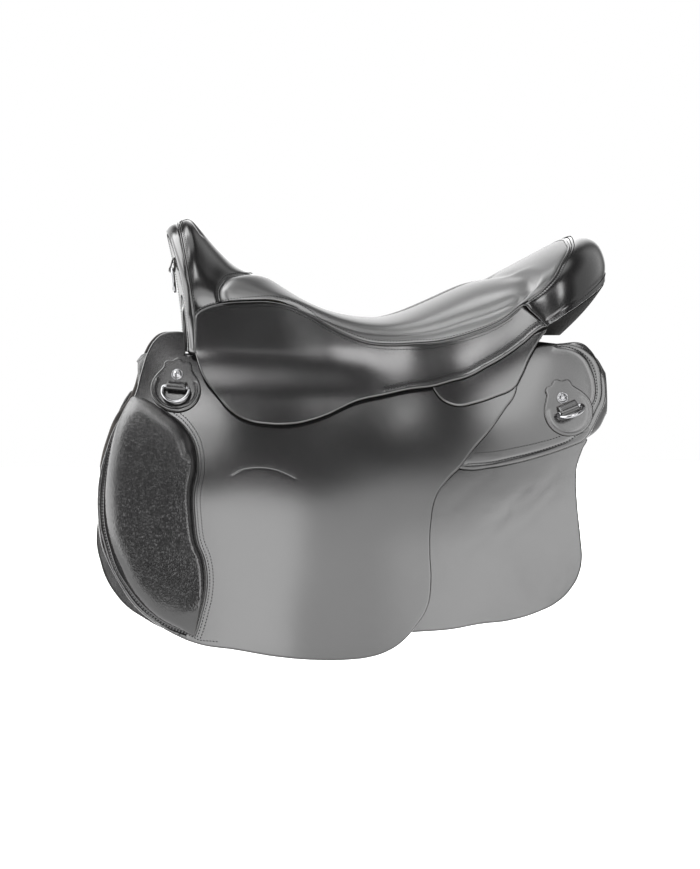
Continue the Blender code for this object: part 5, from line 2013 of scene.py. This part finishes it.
@dataclass
class RingSet:
    """Scalloped rosette with its screw, and the ring below it."""

    bench: Bench
    side: Side
    place: str
    x: float
    z: float
    off: float
    turn: float
    raised: float
    thickness: float = 2.6
    disc: float = 28.0
    lobe: float = 20.5
    cusp: float = 17.5
    screw_up: float = 19.0
    bar_up: float = 3.0
    clear: float = 1.1
    side_cosine: float = 0.894

    def _outline(self) -> Array:
        """Five scallops round the screw over a round disc, in the rosette's own plane.

        Returns:
            Its flat points.
        """
        knots = []
        for k in range(5):
            angle = math.radians(2 + 44 * k)
            knots.append((math.cos(angle) * self.lobe, self.screw_up + math.sin(angle) * self.lobe))
            if k < 4:
                angle += math.radians(22)
                knots.append((math.cos(angle) * self.cusp, self.screw_up + math.sin(angle) * self.cusp, True))
        for k in range(11):
            angle = math.radians(150 + 24 * k)
            knots.append((math.cos(angle) * self.disc, math.sin(angle) * self.disc))
        return curve_through(knots, 2.0, True)

    def build(self) -> None:
        """Makes the rosette, screw, chape and ring."""
        word = f"{self.place}_{self.side.word}"
        ring = Ring()
        layer = SmallLayer(self.side, self.off, 0.0, self.x, self.z, self.turn)
        around = np.linspace(2.75, 6.68, 60)
        rim = evenly(np.stack([np.cos(around), np.sin(around)], -1) * (self.disc - 4.5), 2.0, measured=2)
        cut = LeatherCut(layer, self._outline(), self.thickness, 3.0, creases=[Crease(rim, 0.25, 1.1)])
        self.bench.fit(f"rosette_{word}_leather", cut.build(), LEATHER_LOOK, stands_for=[f"rosette_{word}"])
        angle = math.radians(self.turn)
        plain = Layer(self.side, self.off + self.thickness / self.side_cosine)
        screw_x = self.x - math.sin(angle) * self.screw_up
        screw_z = self.z + math.cos(angle) * self.screw_up * self.side_cosine
        origin, axes = plain.axes(screw_x, screw_z)
        screw = self._screw(origin, axes, self.turn + 14)
        self.bench.fit(f"rosette_{word}_screw", screw, CHROME_LOOK, stands_for=[f"rosette_screw_{word}"])
        bar_off = self.off + self.thickness + ring.wire + ring.folded + self.clear
        bar_x = self.x - math.sin(angle) * self.bar_up
        bar_z = self.z + math.cos(angle) * self.bar_up
        origin, axes = Layer(self.side, bar_off).axes(bar_x, bar_z, self.turn)
        name = f"d_ring_{word}"
        self.bench.fit(f"{name}_wire", ring.solid(origin, axes, self.raised), CHROME_LOOK, name, [name])
        chape = f"ring_chape_{word}"
        self.bench.fit(f"{chape}_strap", ring.chape(origin, axes), LEATHER_LOOK, stands_for=[chape])

    @staticmethod
    def _screw(origin: Array, axes: Array, turn: float) -> Solid:
        """Round-headed screw with a cross recess, in its cup washer.

        Args:
            origin: Where its axis meets the leather.
            axes: Axes along, up and out, as rows.
            turn: Degrees that the cross is turned.

        Returns:
            The screw and washer as one solid.
        """
        knots = np.array([
            (0, 2.9), (2.2, 2.75), (4.2, 1.95), (5.0, 1.1), (5.2, 0.95), (5.5, 1.35), (6.0, 1.55), (6.5, 1.1),
            (6.6, 0.3), (2.1, 0.2), (2.1, -8.5), (0.4, -9.5),
        ])
        radii = np.concatenate([np.linspace(0.15, 4.9, 22), [5.0, 5.2, 5.35, 5.5, 5.75, 6.0, 6.3, 6.5, 6.6]])
        heights = np.interp(radii, *knots[:9].T)
        profile = np.vstack([np.stack([radii, heights], -1), knots[8:]])
        sides = 64
        turns = np.arange(sides) * math.tau / sides
        x, y = profile[:, :1] * np.cos(turns), profile[:, :1] * np.sin(turns)
        z = np.broadcast_to(profile[:, 1:], x.shape).copy()
        near, far = np.minimum(np.abs(x), np.abs(y)), np.maximum(np.abs(x), np.abs(y))
        slot = ease(0.85, 0.55, near) * ease(3.3, 2.8, far)
        z[: len(radii)] -= (1.5 * slot)[: len(radii)]
        spin = math.radians(turn)
        sine, cosine = math.sin(spin), math.cos(spin)
        local = np.stack([x * cosine - y * sine, x * sine + y * cosine, z], -1)
        return ring_loft(origin + local @ axes)


@dataclass
class PommelRing:
    """Ring on the front of the pommel, in its chape."""

    bench: Bench
    z: float = 167.0
    ring: Ring = Ring(16.0, 26.0, 2.1, 22.0, 15.0)
    raised: float = -7.0
    clear: float = 0.6

    def build(self, front: PommelFront) -> None:
        """Makes the ring and its chape.

        Args:
            front: The facing that the ring hangs on.
        """
        x = front.front_x(self.z) - self.ring.wire - self.ring.folded - self.clear
        axes = np.array([(0, -1, 0), (0, 0, 1), (-1, 0, 0)], float)
        origin = np.array([x, 0, self.z])
        solid = self.ring.solid(origin, axes, self.raised)
        self.bench.fit("pommel_ring_wire", solid, CHROME_LOOK, "pommel_ring", ["pommel_ring"])
        chape = self.ring.chape(origin, axes)
        self.bench.fit("pommel_ring_chape_strap", chape, LEATHER_LOOK, stands_for=["pommel_ring_chape"])


@dataclass
class KeptParts:
    """Tree and metal parts whose modelled shapes are shown as they are, with softened edges."""

    forged: tuple[str, ...] = ("stirrup_bar", "stirrup_catch")
    edge: float = 0.5

    def dress(self) -> None:
        """Gives the parts their finishes."""
        finishes = {"tree": WOOD, "gullet_plate": BRUSHED}
        finishes.update({f"{name}_{side.word}": FORGED for name in self.forged for side in Side})
        for name, finish in finishes.items():
            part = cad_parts[name]
            part.data.materials.clear()
            part.data.materials.append(finish.material())
            softened = part.modifiers.new("softened_edges", "BEVEL")
            softened.width = self.edge * MM
            softened.segments = 2
            softened.limit_method = "ANGLE"
            LOG.info("%s: %s", name, finish.name)


@dataclass(frozen=True)
class Softbox:
    """Soft panel of light in the studio, by its directions from the saddle in degrees."""

    strength: float
    azimuths: tuple[float, float]
    elevations: tuple[float, float]
    soft: float = 10.0


@dataclass
class Studio:
    """Pale floor, soft light from panels round the saddle, and the camera."""

    floor_z: float = -0.62
    floor_size: float = 16.0
    camera: tuple[float, float, float] = (-0.280, -2.280, 0.091)
    target: tuple[float, float, float] = (0.0, 0.0, -0.0294)
    focal_px: float = 1917.0
    image: tuple[int, int] = (700, 869)
    ambient: float = 0.12
    panels: tuple[Softbox, ...] = (
        Softbox(3.4, (-20, 26), (-12, 33), 3.0),
        Softbox(3.2, (-16, 0), (-12, 35), 3.0),
        Softbox(3.2, (10, 26), (-12, 22), 3.0),
        Softbox(9.5, (9, 20), (44, 60), 2.0),
        Softbox(11.0, (-28, -13), (42, 48.5), 2.0),
        Softbox(1.6, (-12, 8), (50, 54), 3.0),
        Softbox(6.5, (-132, -54), (-10, 30), 5.0),
        Softbox(8.5, (-132, -68), (34, 72), 4.0),
        Softbox(7.0, (-62, -26), (58, 74), 5.0),
        Softbox(0.8, (50, 140), (5, 55), 12.0),
        Softbox(2.4, (158, 188), (2, 50), 12.0),
        Softbox(1.3, (188, 228), (2, 36), 12.0),
        Softbox(5.5, (200, 232), (60, 80), 6.0),
        Softbox(2.0, (-180, 180), (75, 100), 5.0),
    )

    def build(self) -> None:
        """Sets up the studio."""
        self._floor()
        self._light()
        self._camera()

    def _floor(self) -> None:
        """Lays the floor."""
        bpy.ops.mesh.primitive_plane_add(size=self.floor_size, location=(0, 0, self.floor_z))
        floor = bpy.context.object
        floor.name = "studio_floor"
        material = bpy.data.materials.new("studio_floor")
        material.use_nodes = True
        shader = Shader(material.node_tree)
        marks = shader.noise(shader.place(), 900.0)
        shader.surface({
            "Base Color": marks.between((0.9, 0.9, 0.9), (0.93, 0.93, 0.93)), "Roughness": 0.9,
            "Emission Color": (1, 1, 1, 1), "Emission Strength": 0.7,
        })
        floor.data.materials.append(material)

    def _light(self) -> None:
        """Lights the studio with soft panels all round."""
        world = bpy.context.scene.world or bpy.data.worlds.new("studio")
        bpy.context.scene.world = world
        world.use_nodes = True
        shader = Shader(world.node_tree)
        way = shader.read("ShaderNodeTexCoord", "Generated")
        split = shader.add("ShaderNodeSeparateXYZ", {}, {0: way})
        x, y, z = (Signal(shader, output) for output in split.outputs)
        degree = 180 / math.pi
        azimuth = x.apply("ARCTAN2", x, y * -1) * degree
        elevation = z.apply("ARCSINE", z) * degree
        total = None
        for panel in self.panels:
            middle = sum(panel.azimuths) / 2
            half = (panel.azimuths[1] - panel.azimuths[0]) / 2
            low, high = panel.elevations
            light = elevation.step(low - panel.soft, low + panel.soft)
            light = light * elevation.step(high + panel.soft, high - panel.soft) * panel.strength
            if half < 179:
                turn = azimuth.apply("WRAP", azimuth - middle, 180.0, -180.0)
                apart = turn.apply("ABSOLUTE", turn)
                light = light * apart.step(half + panel.soft, half - panel.soft)
            total = light if total is None else total + light
        values = {"Color": (1, 1, 1, 1), "Strength": total + self.ambient}
        lit = shader.read("ShaderNodeBackground", 0, {}, values)
        plain = shader.read("ShaderNodeBackground", 0, {}, {"Color": (1, 1, 1, 1), "Strength": 1.0})
        seen = shader.read("ShaderNodeLightPath", "Is Camera Ray")
        mixed = shader.read("ShaderNodeMixShader", 0, {}, {0: seen, 1: lit, 2: plain})
        shader.add("ShaderNodeOutputWorld", {}, {"Surface": mixed})
        bpy.context.scene.view_settings.view_transform = "Standard"

    def _camera(self) -> None:
        """Places the camera at the photograph's angle."""
        lens = bpy.data.cameras.new("camera")
        lens.sensor_width = 36.0
        lens.lens = self.focal_px * 36.0 / max(self.image)
        camera = bpy.data.objects.new("camera", lens)
        camera.location = self.camera
        way = Vector(self.target) - Vector(self.camera)
        camera.rotation_euler = way.to_track_quat("-Z", "Y").to_euler()
        bpy.context.scene.collection.objects.link(camera)
        bpy.context.scene.camera = camera


def main() -> None:
    """Dresses the saddle and sets up its studio."""
    logging.basicConfig(level=logging.INFO, format="%(message)s")
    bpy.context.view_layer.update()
    Studio().build()
    bench = Bench()
    Seat(bench).build()
    front = PommelFront(bench)
    front.build()
    Underside(bench).build()
    for side in Side:
        Flaps(bench, side).build()
        Panel(bench, side).build()
        RingSet(bench, side, "front", x=-211.5, z=28.5, off=14.3, turn=-6, raised=4).build()
        RingSet(bench, side, "rear", x=231.0, z=3.0, off=7.6, turn=22, raised=62).build()
    PommelRing(bench).build(front)
    KeptParts().dress()
    LOG.info("%d pieces, %d points", bench.count, bench.corners)


if __name__ == "__main__":
    main()
